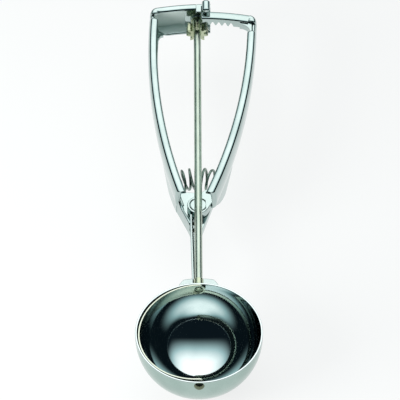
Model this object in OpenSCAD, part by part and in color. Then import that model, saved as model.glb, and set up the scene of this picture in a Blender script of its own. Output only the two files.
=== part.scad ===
// Lever ice cream scoop: squeezing the two handles drives a curved rack over a pinion,
// which turns a scraper blade through the hemispherical bowl. A bent spring reopens the handles.
// The part is modelled with the shaft along +Y and the bowl opening towards +Z.

/* [Bowl] */
// Outer diameter of the bowl
bowl_d = 59; // [50:1:70]
// Wall thickness of the bowl
bowl_wall = 0.9; // [0.6:0.1:1.5]
// Height of the rim above the axis of the scraper shaft
rim_h = 2.5; // [2.4:0.1:5]
// Width of the saddle that carries the bowl on its stem
saddle_w = 20; // [14:1:26]
// How far the saddle reaches out from the bowl
saddle_reach = 6.8; // [4:0.1:9]
// Depth of the saddle down the outside of the bowl
saddle_h = 15; // [9:0.5:20]

/* [Scraper] */
// Diameter of the scraper shaft
shaft_d = 3.7; // [3:0.1:4.2]
// Width of the scraper blade
blade_w = 6.4; // [4:0.1:9]
// Thickness of the scraper blade
blade_t = 0.8; // [0.5:0.1:1.2]
// Running gap between the blade and the bowl
blade_gap = 0.35; // [0.2:0.05:0.6]
// Angle of the parked blade below the level of the shaft
blade_park = 4; // [0:0.5:8]
// Outer diameter of the bush on the bowl
bowl_bush_d = 4.6; // [4.4:0.1:5.4]
// Length of the bush on the bowl
bowl_bush_l = 3.6; // [2:0.1:5]
// Head diameter of the rivet at the far end of the bowl
tip_head_d = 4.8; // [3.6:0.1:6]
// Head height of the rivet at the far end of the bowl
tip_head_h = 1.5; // [0.8:0.1:2]

/* [Gearing] */
// Tooth module of the rack and the pinion
gear_module = 1; // [0.9:0.05:1.05]
// Number of teeth on the pinion
pinion_teeth = 9; // [9:1:9]
// Number of teeth that a full circle of the curved rack would have
rack_circle_teeth = 232; // [226:1:238]
// Face width of the pinion
pinion_face = 5.6; // [4:0.1:7]
// Diameter of the plain hub on the pinion
hub_d = 5.2; // [5:0.1:6]
// Length of the plain hub on the pinion
hub_l = 3.3; // [2:0.1:3.4]
// First tooth of the rack, counted from the shaft
rack_first = 1; // [0:1:1]
// Last tooth of the rack, counted from the shaft
rack_last = 5; // [5:1:6]
// Width of the rack bar along the shaft
rack_w = 5.1; // [4:0.1:5.6]

/* [Handles] */
// Distance from the centre of the bowl to the handle pivot
pivot_y = 82; // [74:1:88]
// Radius of the long bend of each grip
grip_r = 344; // [320:1:370]
// Distance from the pivot to the widest point of the grips
grip_peak = 95.9; // [90:0.5:100]
// Half width of the fixed grip at its widest point
fixed_reach = 23.75; // [22:0.25:26]
// Half width of the lever grip at its widest point, before it is opened
lever_reach = 21.6; // [21:0.2:24]
// Angle by which the lever stands open at rest
lever_open = 4; // [3:0.5:5]
// Depth of the grips from front to back
grip_depth = 14.9; // [13:0.1:16]
// Width of the grip flanges
flange_w = 3.8; // [3:0.1:4.4]
// Wall thickness of the grips
grip_wall = 1.6; // [1.2:0.1:2]
// Rise of the rounded palm side of the grips
palm_crown = 0.85; // [0.4:0.05:1.2]
// Outer radius of the top corners of the handles
corner_r = 3.2; // [2.4:0.1:4]
// Gap between the front flanges at the top corner of the fixed handle
corner_notch = 3; // [1.5:0.1:4]
// Gap between the front flanges at the top corner of the lever
lever_notch = 6; // [4:0.1:7]
// Width of the back flange of the fixed arm
apron_w = 7.2; // [5:0.1:8]
// Clearance between the rack bar and the fixed arm above it
arm_gap = 1.3; // [1.2:0.1:3]

/* [Pivot] */
// Diameter of the pivot pin
pivot_d = 6; // [5:0.1:6.6]
// Diameter of the flush head of the pivot pin
pivot_head_d = 7.8; // [7.4:0.1:8.2]
// Radius of the eye of the lever
eye_r = 5.3; // [5:0.1:6]
// Thickness of the pivot plate of the lever
lever_plate = 3.9; // [3:0.1:4.2]
// Thickness of the pivot plate of the fixed handle
fixed_plate = 3.8; // [3:0.1:5]
// Thickness of the washer between the two plates
washer_t = 0.5; // [0.3:0.1:0.8]

/* [Spring] */
// Outer diameter of the spring
spring_d = 10.4; // [9:0.1:11]
// Wire diameter of the spring
wire_d = 1.1; // [0.8:0.1:1.3]
// Number of turns of the spring
spring_turns = 6.5; // [5:0.5:7]
// Distance from the pivot to the axis of the spring
spring_bend_r = 21; // [20:0.5:23]
// Angle from the middle of the spring to each end of it
spring_half = 31; // [29:0.5:33]

/* [Stem] */
// Width of the stem at the bowl
stem_w0 = 4.8; // [4:0.1:5.6]
// Width of the stem at the handle
stem_w1 = 5.8; // [5:0.1:6.2]
// Wall thickness of the stem
stem_wall = 1.1; // [0.8:0.1:1.3]
// Distance by which the right edge of the stem stands right of the shaft
stem_right = 1.7; // [1.4:0.1:2.2]

/* [Hidden] */
$fn = 64;
eps = 0.01;

// Clearances
run_gap = 0.05;          // radial play of a running fit
side_gap = 0.05;         // axial play beside a plate that turns
seat_gap = 0.02;         // play of a part that is fixed in its seat
free_gap = 0.25;         // play between parts that pass each other
through = 4 * grip_depth; // length of a cut or a trim that passes right through a part
face_step = 0.05;        // step between faces that are nearly level

// Bowl and scraper
bowl_r = bowl_d / 2;
bowl_in_r = bowl_r - bowl_wall;
blade_r = bowl_in_r - blade_gap;
blade_in_r = blade_r - blade_t;
shaft_r = shaft_d / 2;
rivet_d = 2.2;           // shank of the rivets at both ends of the blade
inner_head_d = 4.2;
inner_head_h = 0.9;
root_shank_l = 5;

// Levels, measured from the axis of the shaft
plate_front = -(shaft_r + 0.45);
lever_back = plate_front - lever_plate;
fixed_front = lever_back - washer_t - 2 * side_gap;
fixed_back = fixed_front - fixed_plate;
grip_back = lever_back + face_step;
grip_front = grip_back + grip_depth;
spring_z = -(shaft_r + free_gap + spring_d / 2);
hip_back = spring_z - spring_d / 2;
saddle_top = plate_front;
saddle_foot_w = 0.55 * saddle_w;

coil_r = (spring_d - wire_d) / 2;
spring_low = pivot_y + spring_bend_r * cos(spring_half) - coil_r - 1;
spring_high = pivot_y + spring_bend_r + coil_r + 2.5;

// Gearing
mesh_r = gear_module * rack_circle_teeth / 2;
pinion_r = gear_module * pinion_teeth / 2;
tooth_step = 360 / rack_circle_teeth;
pressure_angle = 25;
backlash = 0.2;
rack_addendum = 0.8 * gear_module;
root_play = 0.25 * gear_module;
rack_tip_z = pinion_r - rack_addendum;
rack_in_r = mesh_r - 1.5;
rack_out_r = rack_in_r + rack_w;
pinion_top = pivot_y + mesh_r + 1;
hub_top = pinion_top + hub_l;
pinion_pin_d = 1.3;

// Arms above the pinion
arm_centre = [4.3, 0.1];                       // centre of the fixed arm's bend, from the pivot
arm_in_r = rack_out_r + arm_gap;
arm_out_r = arm_in_r + flange_w;
boss_left = -6;
boss_right = 6.7;
boss_w = 3.5;
boss_y = pivot_y + arm_centre[1] + arm_out_r - boss_w;
bush_d = 5.4;
bush_flange_d = 7;
bush_flange_t = 0.5;
thrust_t = 0.35;
shaft_top = boss_y + boss_w - 0.3;
seam = 0.1;                                    // small step where a tight bend joins a long one
seam_angle = 10;
corner_thicker = 0.4;

// Guide finger in front of the rack
finger_r = 2.05;
finger_x = 4.45;
finger_l = 8.1;
tab_left = -0.7;
tab_w = 2.9;
tab_l = 6;
tab_t = 1.25;
guide_spigot_d = 2.4;

// Pivot plates
hip_r = 1.6;
hip = [-12, 11];
shoulder = [6.8, 9];
tongue_r = stem_w1 / 2;
tongue_y = -12.7;
head_t = 1.2;
stem_mid = stem_right - tongue_r;

// Stem
stem_hold = 3;           // length of the stem that the saddle holds
stem_top = pivot_y - eye_r - 0.8;
stem_foot = bowl_r + saddle_reach - stem_hold;
stem_back = fixed_front + seat_gap;
stem_depth = plate_front - stem_back;
stem_rivet_d = 2;
stem_rivet_at = [3, 7.2];                      // distances below the top of the stem

// Frame: the origin lies under the middle of the whole part, at the lowest point of the bowl
y_low = -(bowl_r + tip_head_h);
y_high = pivot_y + arm_centre[1] + arm_out_r + palm_crown;
y_mid = (y_low + y_high) / 2;

module in_frame() {
    translate([0, -y_mid, bowl_r]) children();
}

// ---- helpers ----

// Cylinder along +Y from y0 to y1
module rod(d, y0, y1) {
    translate([0, y0, 0]) rotate([-90, 0, 0]) cylinder(d = d, h = y1 - y0);
}

// Low round-topped rivet head that stands on z = 0
module dome_head(d, h) {
    r = (d * d / 4 + h * h) / (2 * h);
    rotate_extrude() intersection() {
        translate([0, h - r]) circle(r);
        square([d / 2, h]);
    }
}

// Places its children in the axes of the lever as it stands open at rest
module lever_axes() {
    translate([0, pivot_y, 0]) rotate([0, 0, -lever_open]) translate([0, -pivot_y, 0]) children();
}

function polar(r, a) = [r * cos(a), r * sin(a)];

// Point where two circles meet, on the left of the line from the first centre to the second
function circles_meet(c0, r0, c1, r1) =
    let (d = norm(c1 - c0), along = (d * d + r0 * r0 - r1 * r1) / (2 * d),
         side = sqrt(r0 * r0 - along * along), u = (c1 - c0) / d)
    c0 + u * along + [-u[1], u[0]] * side;

function bearing(from, to) = atan2(to[1] - from[1], to[0] - from[0]);

// ---- handle sections: x runs outwards from the centre of the bend, y is the depth ----

// Outline of the grip with its crowned palm side and rounded corners
module grip_outline(r, w) {
    half = grip_depth / 2;
    crown_r = (half * half + palm_crown * palm_crown) / (2 * palm_crown);
    soft = 0.7;
    translate([0, grip_back + half]) intersection() {
        translate([r - w, -half]) square([w + palm_crown, grip_depth]);
        translate([r + palm_crown - crown_r, 0]) circle(crown_r, $fn = 200);
        union() {
            translate([r - w, -half + soft]) square([w + palm_crown, grip_depth - 2 * soft]);
            translate([r - w, -half]) square([w - soft, grip_depth]);
            for (side = [-1, 1]) translate([r - soft, side * (half - soft)]) circle(soft, $fn = 32);
        }
    }
}

// One flange with a rounded free edge
module flange(r, w, z) {
    translate([r - w + grip_wall / 2, z]) square([w - grip_wall / 2, grip_wall]);
    translate([r - w + grip_wall / 2, z + grip_wall / 2]) circle(d = grip_wall - 3 * eps, $fn = 32);
}

// Channel that opens towards the centre of the bend
module channel(r, front_w, back_w) {
    intersection() {
        grip_outline(r, max(front_w, back_w) + grip_wall);
        union() {
            translate([r - grip_wall, grip_back]) square([grip_wall + palm_crown, grip_depth]);
            flange(r, front_w, grip_front - grip_wall);
            flange(r, back_w, grip_back);
        }
    }
}

// Sweep of a section about a centre, between two bearings
module swept(centre, a0, a1) {
    translate([centre[0], centre[1], 0]) rotate([0, 0, a0]) rotate_extrude(angle = a1 - a0, $fn = 128)
        children();
}

// ---- a handle drawn on the right of the shaft: grip, rounded corner and the start of its arm ----

function grip_centre(reach) = [reach - grip_r, pivot_y + grip_peak];
function corner_centre(reach, arm_c, arm_r) =
    circles_meet(grip_centre(reach), grip_r - corner_r, arm_c, arm_r - corner_r);
function grip_bearing(reach, y) = asin((y - pivot_y - grip_peak) / grip_r);

// Lower end of the grip: the wall stops on a slope beside the pivot
module grip_channel(reach, arm_c, arm_r) {
    c = grip_centre(reach);
    k = corner_centre(reach, arm_c, arm_r);
    end_y = pivot_y + 0.9;
    slope = atan2(4.3, grip_depth);
    difference() {
        swept(c, grip_bearing(reach, end_y), bearing(c, k)) channel(grip_r, flange_w, flange_w);
        translate([0, end_y + 0.1, grip_front]) rotate([-slope, 0, 0])
            translate([0, -10, -2 * grip_depth]) cube([2 * reach, 10, 3 * grip_depth]);
        // The back flange is left out beside the spring
        swept(c, grip_bearing(reach, spring_low), grip_bearing(reach, spring_high))
            translate([grip_r - 2 * flange_w, grip_back - 1])
                square([2 * flange_w - grip_wall + face_step, grip_wall + 1.2]);
    }
    swept(k, bearing(c, k) - seam_angle, bearing(arm_c, k)) intersection() {
        union() {
            channel(corner_r - seam, corner_r - 2 * seam, corner_r - 2 * seam);
            translate([corner_r - grip_wall - corner_thicker, grip_back + grip_wall / 2])
                square([grip_wall, grip_depth - grip_wall]);
        }
        translate([seam / 2, grip_back]) square([corner_r + palm_crown, grip_depth]);
    }
}

// Filled inner corner where a wide back flange meets the back flange of the grip
module corner_web(reach, arm_c, arm_r, back_w) {
    k = corner_centre(reach, arm_c, arm_r);
    r = 2;
    translate([k[0] + corner_r - flange_w - r, k[1] + corner_r - back_w - r, grip_back + face_step])
        linear_extrude(grip_wall - 2 * face_step) difference() {
            square([flange_w, flange_w]);
            circle(r, $fn = 32);
        }
}

// Slot that parts the front flanges at a top corner
module corner_slot(reach, arm_c, arm_r, drop, width) {
    k = corner_centre(reach, arm_c, arm_r);
    translate([k[0] - flange_w, k[1] - drop - width, grip_front - grip_wall - 0.1]) {
        cube([flange_w + 2 * corner_r, width, grip_wall + 1]);
        cube([flange_w + seat_gap, width + drop, grip_wall + 1]);
    }
}

// ---- bowl ----

module bowl() {
    color("gainsboro") difference() {
        rotate_extrude() {
            intersection() {
                difference() {
                    circle(bowl_r, $fn = 160);
                    circle(bowl_in_r, $fn = 160);
                }
                translate([0, -bowl_r]) square([bowl_r, bowl_r]);
            }
            translate([bowl_in_r, 0]) square([bowl_wall, rim_h - bowl_wall / 2]);
            translate([bowl_r - bowl_wall / 2, rim_h - bowl_wall / 2]) circle(d = bowl_wall, $fn = 32);
        }
        rod(shaft_d + 2 * run_gap, bowl_in_r - 2, bowl_r + 1);
        rod(rivet_d + 2 * seat_gap, -bowl_r - 1, -bowl_in_r + 2);
    }
}

module bowl_saddle() {
    out_r = bowl_r + saddle_reach;
    tongue_a = asin(saddle_h / bowl_r);
    color("silver") difference() {
        intersection() {
            rotate_extrude(angle = 180) polygon(concat(
                [[bowl_r * cos(tongue_a), saddle_top - saddle_h], [bowl_r - 2, saddle_top],
                 [out_r - 0.5, saddle_top], [out_r, saddle_top - 0.5], [out_r, saddle_top - 2]],
                [for (i = [1:5]) let (t = i / 5)
                    [out_r + (bowl_r * cos(tongue_a) - out_r) * t + 2.2 * sin(180 * t),
                     saddle_top - 2 - (saddle_h - 2) * t]]
            ));
            translate([0, bowl_r - 1, saddle_top - saddle_h - 1])
                cylinder(d1 = saddle_foot_w, d2 = saddle_w, h = saddle_h + 1 + eps);
        }
        sphere(bowl_r + seat_gap, $fn = 160);
        stem_block(seat_gap);
    }
}

module bowl_bush() {
    color("darkkhaki") difference() {
        rod(bowl_bush_d, bowl_r + seat_gap, bowl_r + bowl_bush_l);
        rod(shaft_d + 2 * run_gap, bowl_r - 1, bowl_r + bowl_bush_l + 1);
    }
}

// Distance from the middle of the bowl at which a flat head rests inside a curved wall
function seat_inside(r, head_d) = sqrt(r * r - head_d * head_d / 4);

module tip_rivet() {
    inner = seat_inside(blade_in_r, inner_head_d) - side_gap;
    color("darkkhaki") {
        translate([0, -bowl_r, 0]) rotate([90, 0, 0]) dome_head(tip_head_d, tip_head_h);
        rod(rivet_d, -bowl_r - eps, -inner + eps);
        translate([0, -inner, 0]) rotate([-90, 0, 0]) dome_head(inner_head_d, inner_head_h);
    }
}

// ---- stem ----

// Outline of the stem from above, grown by a gap
module stem_plan(wall) {
    polygon([
        [stem_right - wall, stem_foot], [stem_right - wall, stem_top],
        [stem_right - stem_w1 + wall, stem_top], [stem_right - stem_w0 + wall, stem_foot]
    ]);
}

module stem_block(gap) {
    translate([0, -gap, stem_back - gap]) linear_extrude(stem_depth + 2 * gap) stem_plan(-gap);
}

function stem_rivet_y(i) = stem_top - stem_rivet_at[i];

module stem() {
    color("gainsboro") difference() {
        stem_block(0);
        difference() {
            translate([0, 0, stem_back + stem_wall]) linear_extrude(stem_depth) stem_plan(stem_wall);
            translate([-stem_w1, stem_foot - 1, stem_back]) cube([2 * stem_w1, 1 + stem_wall, stem_depth + 1]);
        }
        for (i = [0, 1]) translate([stem_mid, stem_rivet_y(i), stem_back - 1])
            cylinder(d = stem_rivet_d + 2 * seat_gap, h = stem_wall + 2);
    }
}

module stem_rivets() {
    color("silver") for (i = [0, 1]) translate([stem_mid, stem_rivet_y(i), 0]) {
        translate([0, 0, fixed_back - eps]) cylinder(d = stem_rivet_d, h = stem_back + stem_wall - fixed_back + 2 * eps);
        translate([0, 0, stem_back + stem_wall]) dome_head(stem_rivet_d + 1.2, 0.7);
        translate([0, 0, fixed_back]) rotate([180, 0, 0]) dome_head(stem_rivet_d + 1.6, 0.9);
    }
}

// ---- fixed handle ----

// Seat of one end of the spring, square to the spring: side is 1 on the right and -1 on the left
module spring_seat(side, reach_out) {
    translate([0, pivot_y, spring_z]) rotate([0, 0, -side * spring_half]) translate([0, spring_bend_r, 0])
        rotate([0, side * 90, 0]) {
            cylinder(d = spring_d, h = reach_out);
            translate([0, 0, -2.2]) cylinder(d = spring_d - 2 * wire_d - 1, h = 2.2 + eps);
        }
}

// The handle's arm and corner, mirrored to the left of the shaft
fixed_arm_c = [-arm_centre[0], pivot_y + arm_centre[1]];
fixed_corner = corner_centre(fixed_reach, fixed_arm_c, arm_out_r);

// Wall behind the spring, deeper than the grip itself
module fixed_hip() {
    c = grip_centre(fixed_reach);
    low = pivot_y + hip[1] - 1;
    high = spring_high;
    ramp = atan2(grip_back - hip_back, 12);
    difference() {
        swept(c, grip_bearing(fixed_reach, low), grip_bearing(fixed_reach, high))
            translate([grip_r - grip_wall + 2 * face_step, hip_back])
                square([grip_wall - 4 * face_step, grip_back - hip_back + grip_wall]);
        translate([0, high, grip_back]) rotate([ramp, 0, 0]) translate([0, -grip_depth, -grip_depth])
            cube([2 * fixed_reach, 2 * grip_depth, grip_depth]);
    }
}

module fixed_handle() {
    arm_from = bearing(fixed_arm_c, fixed_corner);
    arm_to = 90 + asin((boss_right - arm_centre[0]) / arm_out_r);
    color("silver") difference() {
        union() {
            mirror([1, 0, 0]) {
                difference() {
                    grip_channel(fixed_reach, fixed_arm_c, arm_out_r);
                    corner_slot(fixed_reach, fixed_arm_c, arm_out_r, 1, corner_notch);
                }
                swept(fixed_arm_c, arm_from - 0.1, arm_to) channel(arm_out_r, flange_w, apron_w);
                corner_web(fixed_reach, fixed_arm_c, arm_out_r, apron_w);
                fixed_hip();
            }
            // Solid end of the arm, which carries the shaft and the guide finger
            intersection() {
                translate([arm_centre[0], pivot_y + arm_centre[1], grip_back])
                    cylinder(r = arm_out_r - grip_wall / 2, h = grip_depth, $fn = 200);
                translate([boss_left, boss_y, grip_back + face_step])
                    cube([boss_right - boss_left - face_step, boss_w, grip_depth - 2 * face_step]);
            }
            // Pivot plate with the tongue that carries the stem
            translate([0, pivot_y, fixed_back]) linear_extrude(fixed_plate) hull() {
                translate(hip) circle(hip_r, $fn = 32);
                translate(shoulder) circle(hip_r, $fn = 32);
                translate([stem_mid, tongue_y]) circle(tongue_r, $fn = 32);
            }
            intersection() {
                spring_seat(-1, 6);
                mirror([1, 0, 0]) translate([grip_centre(fixed_reach)[0], grip_centre(fixed_reach)[1], 0])
                    cylinder(r = grip_r - grip_wall / 2, h = 2 * through, center = true, $fn = 400);
            }
        }
        rod(bush_d + 2 * seat_gap, boss_y - 1, boss_y + boss_w + 2);
        translate([finger_x, boss_y + boss_w / 2, grip_front - 3])
            cylinder(d = guide_spigot_d + 2 * seat_gap, h = 4);
        translate([0, pivot_y, fixed_back - 1]) cylinder(d = pivot_d + 2 * seat_gap, h = fixed_plate + 2);
        for (i = [0, 1]) translate([stem_mid, stem_rivet_y(i), fixed_back - 1])
            cylinder(d = stem_rivet_d + 2 * seat_gap, h = fixed_plate + 2);
    }
}

module rack_guide() {
    y1 = boss_y + boss_w - 0.4;
    finger_z = grip_front + free_gap + finger_r;
    color("gainsboro") {
        // Tab beside the finger, clear of the rack bar, with a thicker foot on the arm
        translate([tab_left, y1 - tab_l, grip_front + free_gap]) cube([tab_w, tab_l, tab_t]);
        translate([tab_left, boss_y + 0.2, grip_front]) cube([finger_x - tab_left, boss_w - 0.6, free_gap + tab_t]);
        translate([finger_x, y1 + 0.9 - finger_r, finger_z]) sphere(finger_r);
        translate([finger_x, y1 + 0.9 - finger_l + finger_r, finger_z]) sphere(finger_r);
        translate([finger_x, 0, finger_z]) rod(2 * finger_r, y1 + 0.9 - finger_l + finger_r, y1 + 0.9 - finger_r);
        translate([finger_x, boss_y + boss_w / 2, grip_front - 2.8])
            cylinder(d = guide_spigot_d, h = 2.8 + free_gap + finger_r);
    }
}

module top_bush() {
    color("darkkhaki") difference() {
        union() {
            rod(bush_d, boss_y - bush_flange_t, boss_y + boss_w - 0.3);
            rod(bush_flange_d, boss_y - bush_flange_t, boss_y);
        }
        rod(shaft_d + 2 * run_gap, boss_y - 2, boss_y + boss_w + 2);
    }
}

module thrust_washer() {
    y0 = boss_y - bush_flange_t - seat_gap - thrust_t;
    color("silver") difference() {
        rod(bush_flange_d - 0.6, y0, y0 + thrust_t);
        rod(shaft_d + 2 * run_gap, y0 - 1, y0 + thrust_t + 1);
    }
}

// ---- pivot ----

module pivot_pin() {
    color("gainsboro") translate([0, pivot_y, 0]) {
        translate([0, 0, fixed_back - eps]) cylinder(d = pivot_d, h = plate_front - fixed_back - head_t + 2 * eps);
        translate([0, 0, plate_front - head_t]) cylinder(d = pivot_head_d, h = head_t);
        translate([0, 0, fixed_back]) rotate([180, 0, 0]) dome_head(pivot_d + 2.4, 1.1);
    }
}

module pivot_washer() {
    color("gray") translate([0, pivot_y, fixed_front + side_gap]) difference() {
        cylinder(d = pivot_d + 3.6, h = washer_t);
        translate([0, 0, -1]) cylinder(d = pivot_d + 2 * run_gap, h = washer_t + 2);
    }
}

// ---- spring: a tube along a helix whose axis is bent about the pivot ----

wire_sides = 6;
rings_per_turn = 16;
// The axis of the helix stops short of each seat by half a wire
coil_half = spring_half - asin((wire_d / 2 + seat_gap) / (spring_bend_r - coil_r));

function coil_point(t) =
    let (bend = 90 + coil_half - 2 * coil_half * t, turn = 360 * spring_turns * t,
         r = spring_bend_r + coil_r * sin(turn))
    [r * cos(bend), pivot_y + r * sin(bend), spring_z + coil_r * cos(turn)];

function unit(v) = v / norm(v);

module spring() {
    n = round(rings_per_turn * spring_turns);
    rings = [for (i = [0:n])
        let (t = i / n, p = coil_point(t), way = unit(coil_point(t + 0.001) - coil_point(t - 0.001)),
             side = unit(cross(way, unit(p - [0, pivot_y, spring_z]))), up = cross(side, way))
        for (j = [0:wire_sides - 1]) let (a = 360 * j / wire_sides)
            p + (side * cos(a) + up * sin(a)) * wire_d / 2];
    sides = [for (i = [0:n - 1], j = [0:wire_sides - 1])
        let (k = (j + 1) % wire_sides, a = i * wire_sides, b = a + wire_sides) [a + j, a + k, b + k, b + j]];
    ends = [[for (j = [wire_sides - 1:-1:0]) j], [for (j = [0:wire_sides - 1]) n * wire_sides + j]];
    color("darkseagreen") polyhedron(rings, concat(sides, ends));
}

// ---- lever ----

lever_arm_c = [0, pivot_y];
lever_corner = corner_centre(lever_reach, lever_arm_c, rack_out_r);

// Bearing of a tooth of the rack, counted from the shaft
function tooth_bearing(i) = 90 - i * tooth_step;

module lever_handle() {
    color("silver") difference() {
        union() {
            lever_axes() {
                difference() {
                    grip_channel(lever_reach, lever_arm_c, rack_out_r);
                    corner_slot(lever_reach, lever_arm_c, rack_out_r, 1.4, lever_notch);
                }
                translate([0, pivot_y, lever_back]) linear_extrude(lever_plate) hull() {
                    circle(eye_r);
                    translate([6.2, 8.6]) circle(3, $fn = 32);
                }
                intersection() {
                    about_pivot(lever_open) spring_seat(1, 6);
                    translate([grip_centre(lever_reach)[0], grip_centre(lever_reach)[1], 0])
                        cylinder(r = grip_r - grip_wall / 2, h = 2 * through, center = true, $fn = 400);
                }
            }
        }
        translate([0, pivot_y, lever_back - 1]) cylinder(d = pivot_d + 2 * run_gap, h = lever_plate + 2);
        translate([0, pivot_y, plate_front - head_t - side_gap])
            cylinder(d = pivot_head_d + 4 * run_gap, h = head_t + 1);
    }
}

module about_pivot(a) {
    translate([0, pivot_y, 0]) rotate([0, 0, a]) translate([0, -pivot_y, 0]) children();
}

// ---- rack: a bar bent about the pivot, with teeth on its back and a foot in the lever's corner ----

// Foot that rounds the inner corner between the bar and the grip
module rack_foot() {
    r = 6;
    k = lever_corner;
    x0 = k[0] + corner_r - grip_wall - r;
    y0 = k[1] + corner_r - rack_w - r;
    lever_axes() translate([0, 0, rack_tip_z + face_step])
        linear_extrude(grip_front - 1.5 * grip_wall - rack_tip_z) intersection() {
            difference() {
                translate([x0, y0]) square([r + 2, r + 1.5]);
                translate([x0, y0]) circle(r - 0.5);
            }
            translate(grip_centre(lever_reach)) circle(grip_r - grip_wall - seat_gap, $fn = 400);
        }
}

// Sideways lean of a tooth flank over this height
function lean(h) = h * tan(pressure_angle);

module gear_rack() {
    first_a = tooth_bearing(rack_first - 0.36);
    end_a = bearing(lever_arm_c, lever_corner) - lever_open + atan(seat_gap / mesh_r);
    gap_half = PI * gear_module / 4 + backlash / 2;
    root = gear_module + root_play;
    mouth = rack_addendum + 1;
    color("silver") difference() {
        union() {
            swept([0, pivot_y], end_a, first_a) translate([rack_in_r, rack_tip_z])
                square([rack_w, grip_front - rack_tip_z]);
            rack_foot();
        }
        // Gaps between the teeth
        for (i = [rack_first - 1:rack_last]) about_pivot(-(i + 0.5) * tooth_step)
            translate([0, pivot_y + rack_in_r - 1, 0]) rotate([-90, 0, 0]) linear_extrude(rack_w + 2) polygon([
                [-gap_half - lean(mouth), -pinion_r + mouth], [gap_half + lean(mouth), -pinion_r + mouth],
                [gap_half - lean(root), -pinion_r - root], [-gap_half + lean(root), -pinion_r - root]
            ]);
    }
}

// ---- shaft and pinion ----

module scraper_shaft() {
    color("darkkhaki") difference() {
        rod(shaft_d, blade_r + 2 * seat_gap, shaft_top);
        rod(rivet_d + 2 * seat_gap, blade_r - 1, blade_r + root_shank_l);
        translate([0, hub_top - hub_l / 2, -shaft_d]) cylinder(d = pinion_pin_d + 2 * seat_gap, h = 2 * shaft_d);
    }
}

// Involute function in degrees
function involute(a) = tan(a) * 180 / PI - a;

// Outline of the pinion, with a gap between two teeth on the +Z side
module pinion_outline() {
    base_r = pinion_r * cos(pressure_angle);
    tip_r = pinion_r + gear_module;
    root_r = rack_tip_z - root_play;
    half_at_pitch = (PI * gear_module / 2 - backlash) / (2 * pinion_r) * 180 / PI;
    steps = 5;
    rs = [for (i = [0:steps]) base_r + (tip_r - base_r) * i / steps];
    half = function(r) half_at_pitch + involute(pressure_angle) - involute(acos(base_r / r));
    tooth = concat([[root_r, -half(base_r)]], [for (r = rs) [r, -half(r)]],
        [for (i = [steps:-1:0]) [rs[i], half(rs[i])]], [[root_r, half(base_r)]]);
    polygon([for (k = [0:pinion_teeth - 1], q = tooth) polar(q[0], q[1] + 360 * (k + 0.5) / pinion_teeth + 90)]);
}

module pinion() {
    y0 = pinion_top - pinion_face;
    color("darkkhaki") difference() {
        union() {
            translate([0, pinion_top, 0]) rotate([90, 0, 0]) linear_extrude(pinion_face) pinion_outline();
            rod(hub_d, pinion_top - eps, hub_top);
        }
        rod(shaft_d + 2 * seat_gap, y0 - 1, hub_top + 1);
        translate([0, hub_top - hub_l / 2, -hub_d]) cylinder(d = pinion_pin_d + 2 * seat_gap, h = 2 * hub_d);
    }
}

module pinion_pin() {
    color("gray") translate([0, hub_top - hub_l / 2, -hub_d / 2]) cylinder(d = pinion_pin_d, h = hub_d);
}

// ---- blade ----

module scraper_blade() {
    color("gainsboro") rotate([0, -blade_park, 0]) difference() {
        intersection() {
            difference() {
                sphere(blade_r, $fn = 160);
                sphere(blade_in_r, $fn = 160);
            }
            translate([0, blade_r + 1, 0]) rotate([90, 0, 0]) linear_extrude(2 * blade_r + 2) {
                circle(d = blade_w);
                translate([-blade_r - 1, -blade_w / 2]) square([blade_r + 1, blade_w]);
            }
        }
        rod(rivet_d + 2 * run_gap, -blade_r - 1, -blade_in_r + 2);
        rod(rivet_d + 2 * seat_gap, blade_in_r - 2, blade_r + 1);
    }
}

module root_rivet() {
    inner = seat_inside(blade_in_r, inner_head_d) - seat_gap;
    color("darkkhaki") {
        rod(rivet_d, inner - eps, blade_r + root_shank_l - 0.5);
        translate([0, inner, 0]) rotate([90, 0, 0]) dome_head(inner_head_d, inner_head_h);
    }
}

in_frame() bowl();
in_frame() bowl_saddle();
in_frame() bowl_bush();
in_frame() tip_rivet();
in_frame() stem();
in_frame() stem_rivets();
in_frame() fixed_handle();
in_frame() rack_guide();
in_frame() top_bush();
in_frame() thrust_washer();
in_frame() pivot_pin();
in_frame() pivot_washer();
in_frame() spring();
in_frame() lever_handle();
in_frame() gear_rack();
in_frame() scraper_shaft();
in_frame() pinion();
in_frame() pinion_pin();
in_frame() scraper_blade();
in_frame() root_rivet();
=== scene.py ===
"""Lever ice cream scoop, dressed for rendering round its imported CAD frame.

Shapes are drawn in millimetres in the scoop's own axes: X and Z start on the axis of the scraper
shaft, Y starts at the middle of the bowl and runs along the shaft towards the handles' top, and Z
leaves the bowl's mouth. Datum.place turns such a point into metres in the row frame.
"""
import logging
import math
from collections.abc import Callable, Iterable, Sequence
from dataclasses import dataclass
from enum import Enum
from functools import partial

import bmesh
import bpy
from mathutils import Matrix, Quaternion, Vector


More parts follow.
